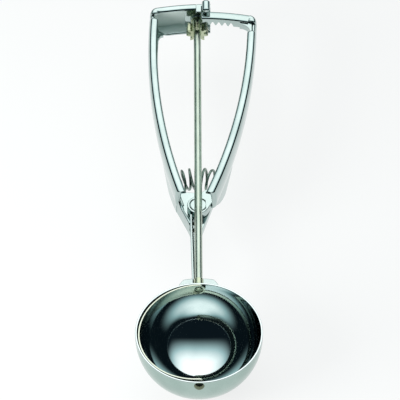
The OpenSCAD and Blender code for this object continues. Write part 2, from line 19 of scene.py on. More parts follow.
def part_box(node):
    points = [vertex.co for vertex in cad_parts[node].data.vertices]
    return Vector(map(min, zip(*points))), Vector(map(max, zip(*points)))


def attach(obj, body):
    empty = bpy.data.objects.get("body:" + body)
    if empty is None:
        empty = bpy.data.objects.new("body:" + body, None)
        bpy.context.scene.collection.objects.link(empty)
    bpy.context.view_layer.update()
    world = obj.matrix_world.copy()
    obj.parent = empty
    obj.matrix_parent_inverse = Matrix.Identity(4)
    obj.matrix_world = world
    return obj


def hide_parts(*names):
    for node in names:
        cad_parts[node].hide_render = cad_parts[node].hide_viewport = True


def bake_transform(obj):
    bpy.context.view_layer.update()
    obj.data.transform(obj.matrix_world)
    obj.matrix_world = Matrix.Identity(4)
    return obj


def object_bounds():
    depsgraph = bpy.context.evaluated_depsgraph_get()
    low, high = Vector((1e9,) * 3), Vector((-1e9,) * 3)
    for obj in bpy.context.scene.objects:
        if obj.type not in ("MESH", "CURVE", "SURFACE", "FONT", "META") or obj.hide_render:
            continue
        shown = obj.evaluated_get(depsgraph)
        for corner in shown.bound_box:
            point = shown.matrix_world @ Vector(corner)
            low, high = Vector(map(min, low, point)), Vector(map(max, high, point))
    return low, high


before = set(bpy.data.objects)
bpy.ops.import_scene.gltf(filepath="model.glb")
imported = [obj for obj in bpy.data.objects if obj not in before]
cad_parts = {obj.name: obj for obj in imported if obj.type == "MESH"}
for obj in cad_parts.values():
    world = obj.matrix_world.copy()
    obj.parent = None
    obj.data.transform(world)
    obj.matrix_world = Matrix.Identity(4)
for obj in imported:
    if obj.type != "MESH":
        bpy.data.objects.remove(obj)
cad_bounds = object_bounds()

LOG = logging.getLogger("scoop")
MM = 0.001
WELD = 0.0002 * MM                # points closer than this are one point
SHARP_ANGLE = math.radians(38)    # edges that turn more than this stay crisp

Flat = tuple[float, float]
Point = tuple[float, float, float]
Socket = bpy.types.NodeSocket


class Body(Enum):
    """Moving groups of the scoop, by the names of the CAD bodies."""

    ROOT = "root"
    LEVER = "lever"
    SCRAPER = "scraper"


# ---------------------------------------------------------------- datum


@dataclass(frozen=True)
class Datum:
    """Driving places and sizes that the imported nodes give, in millimetres.

    Attributes:
        origin: the scoop's own origin in the row frame.
        bowl_r: outer radius of the bowl.
        rim_z: level of the bowl's rim.
        pivot_y: place of the handle pivot along the shaft.
        grip_front: level of the handles' front faces.
        shaft_r: radius of the scraper shaft.
        shaft_low: lower end of the shaft.
        shaft_high: upper end of the shaft.
    """

    origin: Point
    bowl_r: float
    rim_z: float
    pivot_y: float
    grip_front: float
    shaft_r: float
    shaft_low: float
    shaft_high: float

    @classmethod
    def read(cls) -> "Datum":
        """Reads the datum from the frame.

        Returns:
            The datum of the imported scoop.
        """
        shaft_low, shaft_high = (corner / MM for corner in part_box("scraper_shaft"))
        bowl_low, bowl_high = (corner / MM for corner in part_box("bowl"))
        pin_low, pin_high = (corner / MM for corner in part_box("pivot_pin"))
        rack_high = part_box("gear_rack")[1] / MM
        axis = (shaft_low + shaft_high) / 2
        bowl_y = (bowl_low.y + bowl_high.y) / 2
        return cls(
            origin=(axis.x, bowl_y, axis.z),
            bowl_r=(bowl_high.x - bowl_low.x) / 2,
            rim_z=bowl_high.z - axis.z,
            pivot_y=(pin_low.y + pin_high.y) / 2 - bowl_y,
            grip_front=rack_high.z - axis.z,
            shaft_r=(shaft_high.x - shaft_low.x) / 2,
            shaft_low=shaft_low.y - bowl_y,
            shaft_high=shaft_high.y - bowl_y,
        )

    def place(self, point: Point) -> Vector:
        """Turns a point of the scoop's own axes into metres in the row frame."""
        return Vector(point[i] + self.origin[i] for i in range(3)) * MM


DATUM = Datum.read()


# ---------------------------------------------------------------- flat outlines


def on_circle(centre: Flat, radius: float, bearing: float) -> Flat:
    """Gives the point of a circle at a bearing in degrees."""
    turn = math.radians(bearing)
    return centre[0] + radius * math.cos(turn), centre[1] + radius * math.sin(turn)


def spread(low: float, high: float, steps: int) -> list[float]:
    """Gives evenly spaced values from low to high, with both among them."""
    return [low + (high - low) * i / steps for i in range(steps + 1)]


def arc(centre: Flat, radius: float, start: float, end: float, steps: int = 4) -> list[Flat]:
    """Points along an arc.

    Args:
        centre: centre of the arc.
        radius: radius of the arc.
        start: bearing of the first point, in degrees.
        end: bearing of the last point, in degrees.
        steps: number of spans.

    Returns:
        The points from start to end.
    """
    return [on_circle(centre, radius, turn) for turn in spread(start, end, steps)]


def rounded(corners: Sequence[Point]) -> list[Flat]:
    """Outline whose corners are rounded.

    Args:
        corners: x, y and rounding radius of each corner, in order.

    Returns:
        The points of the outline.
    """
    steps = 4
    outline: list[Flat] = []
    for i, (x, y, radius) in enumerate(corners):
        here = Vector((x, y))
        back = (Vector(corners[i - 1][:2]) - here).normalized()
        on = (Vector(corners[(i + 1) % len(corners)][:2]) - here).normalized()
        half = math.acos(max(-1.0, min(1.0, back.dot(on)))) / 2
        centre = here + (back + on).normalized() * radius / math.sin(half)
        first = here + back * radius / math.tan(half) - centre
        last = here + on * radius / math.tan(half) - centre
        swing = first.angle_signed(last, 0.0)
        for k in range(steps + 1):
            turn = -swing * k / steps
            cos, sin = math.cos(turn), math.sin(turn)
            outline.append((centre.x + first.x * cos - first.y * sin,
                            centre.y + first.x * sin + first.y * cos))
    return outline


def inset(outline: Sequence[Flat], depth: float) -> list[Flat]:
    """Moves an outline's points inwards along their normals.

    Args:
        outline: closed outline, in either direction.
        depth: distance to move by.

    Returns:
        The moved points, as many as there were.
    """
    count = len(outline)
    area = sum(outline[i - 1][0] * outline[i][1] - outline[i][0] * outline[i - 1][1] for i in range(count))
    side = math.copysign(depth, area)
    moved: list[Flat] = []
    for i, (x, y) in enumerate(outline):
        before, after = i - 1, (i + 1) % count
        while math.dist(outline[before], (x, y)) < 1e-6:
            before -= 1
        while math.dist(outline[after], (x, y)) < 1e-6:
            after = (after + 1) % count
        a = Vector((x - outline[before][0], y - outline[before][1])).normalized()
        b = Vector((outline[after][0] - x, outline[after][1] - y)).normalized()
        normal = Vector((-a.y - b.y, a.x + b.x))
        if normal.length < 1e-6:
            normal = Vector((-a.y, a.x))
        stretch = 1 / max(0.5, math.cos(a.angle(b, 0.0) / 2))
        shift = normal.normalized() * side * stretch
        moved.append((x + shift.x, y + shift.y))
    return moved


def edge_levels(low: float, high: float, edge: float) -> list[Flat]:
    """Outlines of a block with rounded edges.

    Args:
        low: height of the lower face.
        high: height of the upper face.
        edge: radius of the edges.

    Returns:
        Inset and height of each outline, from the lower face up.
    """
    bends = [math.radians(turn) for turn in spread(0, 90, 3)]
    levels = [(edge * (1 - math.sin(bend)), low + edge * (1 - math.cos(bend))) for bend in bends]
    return levels + [(depth, high + low - height) for depth, height in reversed(levels)]


def circles_meet(c0: Flat, r0: float, c1: Flat, r1: float) -> Flat:
    """Gives where two circles meet, on the left of the line from the first centre to the second."""
    line = Vector(c1) - Vector(c0)
    along = (line.length_squared + r0 * r0 - r1 * r1) / (2 * line.length)
    side = math.sqrt(r0 * r0 - along * along)
    unit = line.normalized()
    return c0[0] + unit.x * along - unit.y * side, c0[1] + unit.y * along + unit.x * side


def bearing(start: Flat, end: Flat) -> float:
    """Gives the bearing from one point to another, in degrees."""
    return math.degrees(math.atan2(end[1] - start[1], end[0] - start[0]))


# ---------------------------------------------------------------- closed surfaces


@dataclass(frozen=True)
class Spot:
    """Place and direction of a turned piece: height runs along axis, from origin."""

    origin: Point
    axis: Point = (0.0, 0.0, 1.0)
    side: Point = (1.0, 0.0, 0.0)

    def at(self, radius: float, turn: float, height: float) -> Point:
        """Gives the point at a radius, a turn in radians and a height."""
        axis, side = Vector(self.axis), Vector(self.side)
        across = axis.cross(side)
        spoke = (side * math.cos(turn) + across * math.sin(turn)) * radius
        return tuple(Vector(self.origin) + spoke + axis * height)


def along_shaft() -> Spot:
    """Gives the spot whose height runs along the shaft's axis."""
    return Spot((0.0, 0.0, 0.0), axis=(0.0, 1.0, 0.0))


def upright(x: float, y: float) -> Spot:
    """Gives the spot at this place whose height runs along +Z."""
    return Spot((x, y, 0.0))


class Shell:
    """Closed surfaces, in millimetres, that become one mesh."""

    def __init__(self) -> None:
        """Starts without any surface."""
        self.points: list[Point] = []
        self.faces: list[tuple[int, ...]] = []
        self.inner: set[int] = set()

    def loft(self, rings: Sequence[Sequence[Point]], looped: bool = False,
             inner_from: int | None = None) -> "Shell":
        """Adds a skin over rings that have the same number of points.

        Args:
            rings: closed rings, in order.
            looped: whether the last ring joins the first; otherwise both ends are capped.
            inner_from: first point of each ring whose span, like all later ones, gets the inner finish.

        Returns:
            This shell.
        """
        count, base = len(rings[0]), len(self.points)
        for ring in rings:
            self.points.extend(ring)
        for i in range(len(rings) if looped else len(rings) - 1):
            low, high = base + i * count, base + (i + 1) % len(rings) * count
            for j in range(count):
                k = (j + 1) % count
                if inner_from is not None and j >= inner_from:
                    self.inner.add(len(self.faces))
                self.faces.append((low + j, low + k, high + k, high + j))
        if not looped:
            top = base + (len(rings) - 1) * count
            self.faces.append(tuple(reversed(range(base, base + count))))
            self.faces.append(tuple(range(top, top + count)))
        return self

    def lathe(self, profile: Sequence[Flat], spot: Spot, steps: int = 64, hollow: bool = False,
              inner_from: int | None = None) -> "Shell":
        """Adds a turned surface.

        Args:
            profile: radius and height of each point; a solid one starts and ends on the axis.
            spot: place and direction of the axis.
            steps: number of spans round the axis.
            hollow: whether the profile closes on itself away from the axis.
            inner_from: first point of the profile whose span, like all later ones, gets the inner finish.

        Returns:
            This shell.
        """
        base, count = len(self.points), len(profile)
        for i in range(steps):
            turn = math.tau * i / steps
            self.points.extend(spot.at(radius, turn, height) for radius, height in profile)
        for i in range(steps):
            low, high = base + i * count, base + (i + 1) % steps * count
            for j in range(count if hollow else count - 1):
                k = (j + 1) % count
                if inner_from is not None and j >= inner_from:
                    self.inner.add(len(self.faces))
                self.faces.append((low + j, low + k, high + k, high + j))
        return self

    def prism(self, outline: Sequence[Flat], low: float, high: float, edge: float = 0.25,
              lift: Callable[[float, float, float], Point] = lambda x, y, h: (x, y, h)) -> "Shell":
        """Adds a block with rounded edges over an outline.

        Args:
            outline: closed flat outline.
            low: height of the lower face.
            high: height of the upper face.
            edge: radius of the edges.
            lift: turns a flat point and a height into a point.

        Returns:
            This shell.
        """
        return self.loft([[lift(x, y, height) for x, y in inset(outline, depth)]
                          for depth, height in edge_levels(low, high, edge)])

    def join(self, other: "Shell") -> "Shell":
        """Adds another shell's surfaces and returns this shell."""
        base = len(self.points)
        self.points.extend(other.points)
        self.inner |= {len(self.faces) + i for i in other.inner}
        self.faces.extend(tuple(base + i for i in face) for face in other.faces)
        return self

    def moved(self, move: Callable[[Point], Point]) -> "Shell":
        """Moves every point by a rule and returns this shell."""
        self.points = [move(point) for point in self.points]
        return self

    def mesh(self, name: str) -> bpy.types.Mesh:
        """Makes the mesh, with merged doubles and normals that point outwards.

        Args:
            name: name of the mesh.

        Returns:
            The mesh, in metres in the row frame.
        """
        mesh = bpy.data.meshes.new(name)
        mesh.from_pydata([DATUM.place(point) for point in self.points], [], self.faces)
        for i in self.inner:
            mesh.polygons[i].material_index = 1
        work = bmesh.new()
        work.from_mesh(mesh)
        bmesh.ops.remove_doubles(work, verts=work.verts, dist=WELD)
        bmesh.ops.recalc_face_normals(work, faces=work.faces)
        for face in work.faces:
            face.smooth = True
        work.to_mesh(mesh)
        work.free()
        mesh.set_sharp_from_angle(angle=SHARP_ANGLE)
        return mesh


def added(name: str, data: bpy.types.ID) -> bpy.types.Object:
    """Adds an object with this data to the scene."""
    thing = bpy.data.objects.new(name, data)
    bpy.context.scene.collection.objects.link(thing)
    return thing


def baked(thing: bpy.types.Object) -> bpy.types.Object:
    """Turns an object's modifiers into plain mesh.

    Args:
        thing: object with live modifiers.

    Returns:
        The same object, with the evaluated mesh and no modifier.
    """
    graph = bpy.context.evaluated_depsgraph_get()
    plain = bpy.data.meshes.new_from_object(thing.evaluated_get(graph), preserve_all_data_layers=True,
                                            depsgraph=graph)
    thing.modifiers.clear()
    thing.data = plain
    return thing


# ---------------------------------------------------------------- finishes


def linear(code: str) -> tuple[float, float, float, float]:
    """Turns an sRGB hex colour into linear RGBA.

    Args:
        code: six hex digits.

    Returns:
        Linear red, green and blue, and an alpha of 1.
    """
    parts = [int(code[i:i + 2], 16) / 255 for i in (0, 2, 4)]
    return (*[p / 12.92 if p <= 0.04045 else ((p + 0.055) / 1.055) ** 2.4 for p in parts], 1.0)


def add_node(tree: bpy.types.NodeTree, kind: str, sockets: dict[str | int, object] | None = None,
             **settings: object) -> bpy.types.Node:
    """Adds a node to a tree.

    Args:
        tree: tree that gets the node.
        kind: Blender's name of the node type.
        sockets: value of, or link into, each input, by its name or number.
        settings: properties of the node.

    Returns:
        The new node.
    """
    made = tree.nodes.new(kind)
    for name, value in settings.items():
        setattr(made, name, value)
    for name, value in (sockets or {}).items():
        if isinstance(value, Socket):
            tree.links.new(value, made.inputs[name])
        else:
            made.inputs[name].default_value = value
    return made


def reckoned(tree: bpy.types.NodeTree, kind: str, a: object, b: object = 0.0) -> Socket:
    """Adds a Math node.

    Args:
        tree: tree that gets the node.
        kind: its operation.
        a: first number, or a link into it.
        b: second number, or a link into it.

    Returns:
        The socket of its result.
    """
    return add_node(tree, "ShaderNodeMath", {0: a, 1: b}, operation=kind).outputs[0]


def blank_material(name: str) -> bpy.types.Material:
    """Makes a material whose node tree is empty."""
    material = bpy.data.materials.new(name)
    material.use_nodes = True
    material.node_tree.nodes.clear()
    return material


@dataclass(frozen=True)
class MetalFinish:
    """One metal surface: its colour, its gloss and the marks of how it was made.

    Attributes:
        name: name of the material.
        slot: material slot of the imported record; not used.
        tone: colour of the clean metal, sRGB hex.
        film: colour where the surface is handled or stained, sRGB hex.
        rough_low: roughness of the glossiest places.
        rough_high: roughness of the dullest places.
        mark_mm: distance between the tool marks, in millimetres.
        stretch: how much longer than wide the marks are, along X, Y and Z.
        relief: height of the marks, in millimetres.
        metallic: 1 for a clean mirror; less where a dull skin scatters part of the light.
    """

    name: str
    slot: str
    tone: str
    film: str
    rough_low: float
    rough_high: float
    mark_mm: float
    stretch: Point
    relief: float
    metallic: float = 1.0

    def material(self) -> bpy.types.Material:
        """Makes the material, or gives it if it is already there.

        Returns:
            The material of this finish.
        """
        if self.name in bpy.data.materials:
            return bpy.data.materials[self.name]
        material = blank_material(self.name)
        tree = material.node_tree
        place = add_node(tree, "ShaderNodeTexCoord").outputs["Object"]
        drift_mm = 14.0
        drift = add_node(tree, "ShaderNodeTexNoise",
                         {"Vector": place, "Scale": 1 / (drift_mm * MM), "Detail": 3.0, "Roughness": 0.55})
        frame_of_marks = add_node(tree, "ShaderNodeMapping",
                                  {"Vector": place, "Scale": tuple(1 / s for s in self.stretch)})
        marks = add_node(tree, "ShaderNodeTexNoise",
                         {"Vector": frame_of_marks.outputs["Vector"], "Scale": 1 / (self.mark_mm * MM),
                          "Detail": 4.0, "Roughness": 0.6})
        blend = add_node(tree, "ShaderNodeMapRange",
                         {"Value": drift.outputs["Fac"], "From Min": 0.35, "From Max": 0.75,
                          "To Min": 0.0, "To Max": 1.0})
        colour = self._colour(tree, blend.outputs["Result"])
        gloss = add_node(tree, "ShaderNodeMapRange",
                         {"Value": marks.outputs["Fac"], "From Min": 0.3, "From Max": 0.7,
                          "To Min": self.rough_low, "To Max": self.rough_high})
        relief = add_node(tree, "ShaderNodeBump",
                          {"Height": marks.outputs["Fac"], "Strength": 0.35, "Distance": self.relief * MM})
        metal = add_node(tree, "ShaderNodeBsdfPrincipled",
                         {"Base Color": colour, "Metallic": self.metallic, "Roughness": gloss.outputs["Result"],
                          "Normal": relief.outputs["Normal"]})
        add_node(tree, "ShaderNodeOutputMaterial", {"Surface": metal.outputs["BSDF"]})
        return material

    def _colour(self, tree: bpy.types.NodeTree, share: Socket) -> Socket:
        """Blends the clean tone with the film.

        Args:
            tree: tree of the material.
            share: share of the film, from 0 to 1.

        Returns:
            The socket that carries the colour.
        """
        ramp = add_node(tree, "ShaderNodeValToRGB", {"Fac": share})
        ramp.color_ramp.elements[0].color = linear(self.tone)
        ramp.color_ramp.elements[1].color = linear(self.film)
        return ramp.outputs["Color"]


# Bright chrome plate on pressed steel: buffed before plating, so it mirrors with a faint cool cast
CHROME = MetalFinish("bright_chrome_plate", "chrome_plate", "B8C7C4", "A9BAB7", 0.07, 0.13,
                     1.6, (1.0, 6.0, 1.0), 0.003)
# The same plate where the buffing wheel doesn't reach: the press's grain leaves it grey and dull; its pale tone is
# painted light that brightens the channel's shaded insides
PRESSED_PAINTED_LIGHT = MetalFinish("unbuffed_chrome_plate", "chrome_plate", "E8F3EF", "D9E8E3", 0.45, 0.58,
                      0.6, (1.0, 1.0, 1.0), 0.004, metallic=0.2)
# Stainless steel sheet, spun and mirror polished: fine rings of polish round the bowl's mouth
BOWL_STEEL = MetalFinish("mirror_polished_stainless", "polished_steel", "D4DEDD", "C7D3D3", 0.03, 0.07,
                         1.2, (4.0, 4.0, 1.0), 0.0006)
# The same sheet outside the bowl: brushed round in the lathe, so it mirrors softer; its darker tone is painted shade
# that darkens the outside against the polished inside
BRUSHED_STEEL_PAINTED_SHADE = MetalFinish("brushed_stainless", "polished_steel", "AABFB8", "9AB0A9", 0.13, 0.21,
                            0.9, (6.0, 6.0, 1.0), 0.003)
# Hardened blade strip, ground bright on both faces and straw-coloured by its tempering
TEMPERED_STRIP = MetalFinish("straw_tempered_strip", "polished_steel", "CAD1C2", "BEC6B2", 0.1, 0.18,
                             1.0, (1.0, 1.0, 4.0), 0.002)
# Stainless steel, tumbled after pressing: softer, slightly milky reflections
SATIN_STEEL = MetalFinish("tumbled_stainless", "satin_steel", "B8C6C3", "A9B8B6", 0.2, 0.32,
                          0.8, (1.0, 1.0, 1.0), 0.004)
# Nickel plate drawn over a steel rod: smooth along the shaft, with a pale green-yellow cast
NICKEL_ROD = MetalFinish("nickel_plated_rod", "nickel_plate", "BDC9BC", "ABB8A8", 0.25, 0.33,
                         0.9, (1.0, 12.0, 1.0), 0.003)
# Nickel plate worn thin on turned and hobbed brass, which shows through as a warm yellow
NICKEL = MetalFinish("worn_nickel_on_brass", "nickel_plate", "C4CEB4", "A9B394", 0.22, 0.34,
                     0.9, (1.0, 1.0, 1.0), 0.004)
# Cold-headed rivet steel, blackened and rubbed bright again on its high spots
RIVET_STEEL = MetalFinish("blackened_rivet_steel", "nickel_plate", "6E7762", "464E42", 0.2, 0.32,
                          0.8, (1.0, 1.0, 1.0), 0.004)
# Drawn spring wire: oiled, darker and a little dull
SPRING_WIRE = MetalFinish("drawn_spring_wire", "spring_steel", "82938A", "66776D", 0.18, 0.3,
                          0.7, (1.0, 1.0, 1.0), 0.003)


def finish_piece(thing: bpy.types.Object, finish: MetalFinish, body: Body | None, *nodes: str,
                 inside: MetalFinish | None = None) -> None:
    """Dresses a piece, puts it in its CAD nodes' place and reports it.

    Args:
        thing: finished object.
        finish: its surface.
        body: body that it rides on, or None where it already bends between two.
        nodes: CAD nodes that it stands for.
        inside: surface of its inner faces, where that differs.
    """
    kinds = [face.material_index for face in thing.data.polygons]
    thing.data.materials.clear()
    thing.data.materials.append(finish.material())
    if inside is not None:
        thing.data.materials.append(inside.material())
        thing.data.polygons.foreach_set("material_index", kinds)
    if body is not None:
        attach(thing, body.value)
    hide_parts(*nodes)
    LOG.info("%s: %d faces, %s", thing.name, len(thing.data.polygons), finish.name)


def piece(name: str, shell: Shell, finish: MetalFinish, body: Body, *nodes: str,
          inside: MetalFinish | None = None) -> bpy.types.Object:
    """Makes a finished piece from a shell.

    Args:
        name: name of the object.
        shell: its closed surfaces.
        finish: its surface.
        body: body that it rides on.
        nodes: CAD nodes that it stands for.
        inside: surface of its inner faces, where that differs.

    Returns:
        The new object.
    """
    thing = added(name, shell.mesh(name))
    weighted = thing.modifiers.new("Weighted normals", "WEIGHTED_NORMAL")
    weighted.keep_sharp = True
    baked(thing)
    finish_piece(thing, finish, body, *nodes, inside=inside)
    return thing


def dome(radius: float, height: float, base: float) -> list[Flat]:
    """Profile of a low round head.

    Args:
        radius: radius of the head.
        height: height of the head.
        base: level that it stands on.

    Returns:
        The profile from the rim to the axis.
    """
    ball = (radius * radius + height * height) / (2 * height)
    reach = math.degrees(math.asin(radius / ball))
    return [(ball * math.sin(math.radians(a)), base + height - ball + ball * math.cos(math.radians(a)))
            for a in spread(reach, 0.0, 8)]


def hanging_dome(radius: float, height: float, base: float) -> list[Flat]:
    """Profile of a low round head that faces down.

    Args:
        radius: radius of the head.
        height: height of the head.
        base: level that it hangs from.

    Returns:
        The profile from the axis to the rim.
    """
    return [(r, 2 * base - level) for r, level in reversed(dome(radius, height, base))]


def turned(radius: float, low: float, high: float, edge: float = 0.2) -> list[Flat]:
    """Profile of a plain turned bar with broken edges.

    Args:
        radius: radius of the bar.
        low: height of its lower end.
        high: height of its upper end.
        edge: radius of its edges.

    Returns:
        The profile, from axis to axis.
    """
    return [(0.0, low), *arc((radius - edge, low + edge), edge, -90, 0),
            *arc((radius - edge, high - edge), edge, 0, 90), (0.0, high)]


def tube(outer: float, inner: float, low: float, high: float, edge: float = 0.15) -> list[Flat]:
    """Closed profile of a tube with broken edges.

    Args:
        outer: outer radius.
        inner: inner radius.
        low: height of its lower end.
        high: height of its upper end.
        edge: radius of its edges.

    Returns:
        The profile, for a hollow lathe.
    """
    return rounded([(outer, low, edge), (outer, high, edge), (inner, high, edge), (inner, low, edge)])


# ---------------------------------------------------------------- bowl


@dataclass(frozen=True)
class BowlGroup:
    """Bowl with the saddle, bush and rivet that are fixed to it."""

    wall: float = 0.9
    lip_edge: float = 0.26
    saddle_top: float = -2.3
    saddle_reach: float = 6.8
    saddle_half_w: float = 10.0
    saddle_h: float = 15.0
    saddle_side_h: float = 1.5
    saddle_sheet: float = 2.2
    bush_d: float = 4.6
    bush_l: float = 3.6
    tip_head_d: float = 4.8
    tip_head_h: float = 1.5
    inner_head_d: float = 4.2
    inner_head_h: float = 0.9
    shank_d: float = 2.2
    blade_depth: float = 2.05

    def bowl(self) -> bpy.types.Object:
        """Makes the spun bowl with its short collar and its lip, flat between rounded edges."""
        radius, edge = DATUM.bowl_r, self.lip_edge
        centre, lip_z = (0.0, 0.0), DATUM.rim_z - edge
        ball_steps, lip_steps = 56, 5
        profile = [*arc(centre, radius, -90, 0, ball_steps),
                   *arc((radius - edge, lip_z), edge, 0, 90, lip_steps),
                   *arc((radius - self.wall + edge, lip_z), edge, 90, 180, lip_steps),
                   *arc(centre, radius - self.wall, 0, -90, ball_steps)]
        profile[0] = (0.0, -radius)
        profile[-1] = (0.0, -radius + self.wall)
        shell = Shell().lathe(profile, upright(0, 0), steps=224, inner_from=ball_steps + 1)
        # The outside takes the darker steel copy, whose tone is painted shade.
        return piece("bowl_shell", shell, BRUSHED_STEEL_PAINTED_SHADE, Body.ROOT, "bowl", inside=BOWL_STEEL)

    def saddle(self) -> bpy.types.Object:
        """Makes the pressed saddle that hugs the bowl and takes the stem's foot."""
        radius, inward, least_out, spare = DATUM.bowl_r, 1.0, 0.3, 0.05
        centre_y = radius - inward
        reach = radius + self.saddle_reach
        widest = math.degrees(math.acos((radius ** 2 + centre_y ** 2 - self.saddle_half_w ** 2)
                                        / (2 * radius * centre_y))) - spare
        rings = []
        for across in spread(-1.0, 1.0, 48):
            turn = math.radians(widest * across)
            out = centre_y * math.cos(turn) + math.sqrt(
                max(0.0, self.saddle_half_w ** 2 - (centre_y * math.sin(turn)) ** 2))
            share = math.sqrt(1 - across ** 2)
            deep = self.saddle_top - self.saddle_side_h - (self.saddle_h - self.saddle_side_h) * share
            section = self._saddle_section(max(min(out, reach), radius + least_out), deep)
            rings.append([(rho * math.sin(turn), rho * math.cos(turn), z) for rho, z in section])
        return piece("bowl_saddle_pad", Shell().loft(rings), SATIN_STEEL, Body.ROOT, "bowl_saddle")

    def _saddle_section(self, out: float, deep: float) -> list[Flat]:
        """Section of the saddle in one upright plane through the bowl's axis.

        Args:
            out: how far its top reaches out.
            deep: level of its lowest point on the bowl.

        Returns:
            Radius and level of each point.
        """
        radius, edge, hollow, steps = DATUM.bowl_r - 0.1, 0.5, 0.2, 8
        top = self.saddle_top
        on_bowl = [(math.sqrt(radius ** 2 - z * z), z) for z in spread(top, deep, steps)]
        foot = on_bowl[-1]
        rim = arc((out - edge, top - edge), edge, 90, 0)
        knee = (out, max(top - self.saddle_sheet, deep + 0.2))
        slope = [(knee[0] + (foot[0] - knee[0]) * t - hollow * math.sin(math.pi * t) * (out - radius),
                  knee[1] + (foot[1] - knee[1]) * t) for t in spread(0.0, 1.0, steps)[:-1]]
        return [*reversed(on_bowl), *rim, *slope]

    def bush(self) -> bpy.types.Object:
        """Makes the bush in which the shaft leaves the bowl."""
        start = DATUM.bowl_r
        shell = Shell().lathe(tube(self.bush_d / 2, DATUM.shaft_r + 0.05, start, start + self.bush_l),
                              along_shaft(), hollow=True)
        return piece("bowl_sleeve", shell, NICKEL, Body.ROOT, "bowl_bush")

    def tip_rivet(self) -> bpy.types.Object:
        """Makes the rivet that holds the blade's far end."""
        gap, seat = 0.05, DATUM.bowl_r - 0.02
        inner = math.sqrt((DATUM.bowl_r - self.blade_depth) ** 2 - (self.inner_head_d / 2) ** 2) - gap
        spot = Spot((0.0, 0.0, 0.0), axis=(0.0, -1.0, 0.0))
        shank = self.shank_d / 2
        profile = [*hanging_dome(self.inner_head_d / 2, self.inner_head_h, inner), (shank, inner), (shank, seat),
                   (self.tip_head_d / 2, seat), *dome(self.tip_head_d / 2, self.tip_head_h, DATUM.bowl_r)]
        return piece("far_rivet", Shell().lathe(profile, spot), RIVET_STEEL, Body.ROOT, "tip_rivet")

    def build(self) -> None:
        """Builds the bowl and what is fixed to it."""
        self.bowl()
        self.saddle()
        self.bush()
        self.tip_rivet()


# ---------------------------------------------------------------- stem


@dataclass(frozen=True)
class Stem:
    """Pressed channel from the bowl to the handle, with its two rivets.

    front_head and back_head are the radius and height of each rivet's two heads.
    """

    foot_w: float = 4.8
    top_w: float = 5.8
    right: float = 1.7
    foot_y: float = 33.3
    top_y: float = 75.9
    front: float = -2.3
    back: float = -6.78
    wall: float = 1.1
    plate_back: float = -10.6
    rivet_d: float = 2.0
    front_head: Flat = (1.6, 0.7)
    back_head: Flat = (1.8, 0.9)
    rivet_step: float = 4.2
    rivet_below_top: float = 3.0

    def channel(self) -> bpy.types.Object:
        """Makes the tapered channel, open towards the shaft."""
        rings = []
        lip, bend, inner = 0.3, 1.2, 0.5
        for share in spread(0.0, 1.0, 24):
            y = self.foot_y + (self.top_y - self.foot_y) * share
            left = self.right - (self.foot_w + (self.top_w - self.foot_w) * share)
            outline = rounded([
                (left, self.back, bend), (self.right, self.back, bend), (self.right, self.front, lip),
                (self.right - self.wall, self.front, lip),
                (self.right - self.wall, self.back + self.wall, inner),
                (left + self.wall, self.back + self.wall, inner),
                (left + self.wall, self.front, lip), (left, self.front, lip)])
            rings.append([(x, y, z) for x, z in outline])
        return piece("stem_channel", Shell().loft(rings), SATIN_STEEL, Body.ROOT, "stem")

    def rivets(self) -> bpy.types.Object:
        """Makes the two rivets by instancing one on two points."""
        middle = self.right - self.top_w / 2
        seat = self.back + self.wall
        shank = self.rivet_d / 2
        under = seat - 0.01
        profile = [*hanging_dome(*self.back_head, self.plate_back), (shank, self.plate_back), (shank, under),
                   (self.front_head[0], under), *dome(*self.front_head, seat)]
        top = self.top_y - self.rivet_below_top
        one = Shell().lathe(profile, upright(middle, top), steps=40).mesh("stem_rivet")
        thing = repeated("stem_rivet_pair", one, 2, (0.0, -self.rivet_step, 0.0), RIVET_STEEL)
        finish_piece(thing, RIVET_STEEL, Body.ROOT, "stem_rivets")
        return thing

    def build(self) -> None:
        """Builds the stem."""
        self.channel()
        self.rivets()


# ---------------------------------------------------------------- geometry nodes


def node_piece(name: str, tree: bpy.types.NodeTree, values: dict[str, object]) -> bpy.types.Object:
    """Runs a Geometry Nodes tree and keeps its result as a plain mesh.

    Args:
        name: name of the object.
        tree: the tree.
        values: value of each named input.

    Returns:
        The new object.
    """
    thing = added(name, bpy.data.meshes.new(name + "_start"))
    modifier = thing.modifiers.new(tree.name, "NODES")
    modifier.node_group = tree
    for item in tree.interface.items_tree:
        if item.in_out == "INPUT" and item.name in values:
            modifier[item.identifier] = values[item.name]
    return baked(thing)


def new_tree(name: str, inputs: dict[str, str]) -> tuple[bpy.types.NodeTree, bpy.types.Node]:
    """Starts a Geometry Nodes tree with named inputs.

    Args:
        name: name of the tree.
        inputs: socket type of each input, by name.

    Returns:
        The tree and its input node.
    """
    tree = bpy.data.node_groups.new(name, "GeometryNodeTree")
    tree.interface.new_socket("Geometry", in_out="OUTPUT", socket_type="NodeSocketGeometry")
    for label, kind in inputs.items():
        tree.interface.new_socket(label, in_out="INPUT", socket_type=kind)
    return tree, add_node(tree, "NodeGroupInput")


def end_tree(tree: bpy.types.NodeTree, geometry: Socket, material: Socket) -> None:
    """Ends a tree in Realize Instances and Set Material.

    Args:
        tree: the tree.
        geometry: what it has made.
        material: its material.
    """
    real = add_node(tree, "GeometryNodeRealizeInstances", {"Geometry": geometry})
    dressed = add_node(tree, "GeometryNodeSetMaterial",
                       {"Geometry": real.outputs["Geometry"], "Material": material})
    add_node(tree, "NodeGroupOutput", {"Geometry": dressed.outputs["Geometry"]})


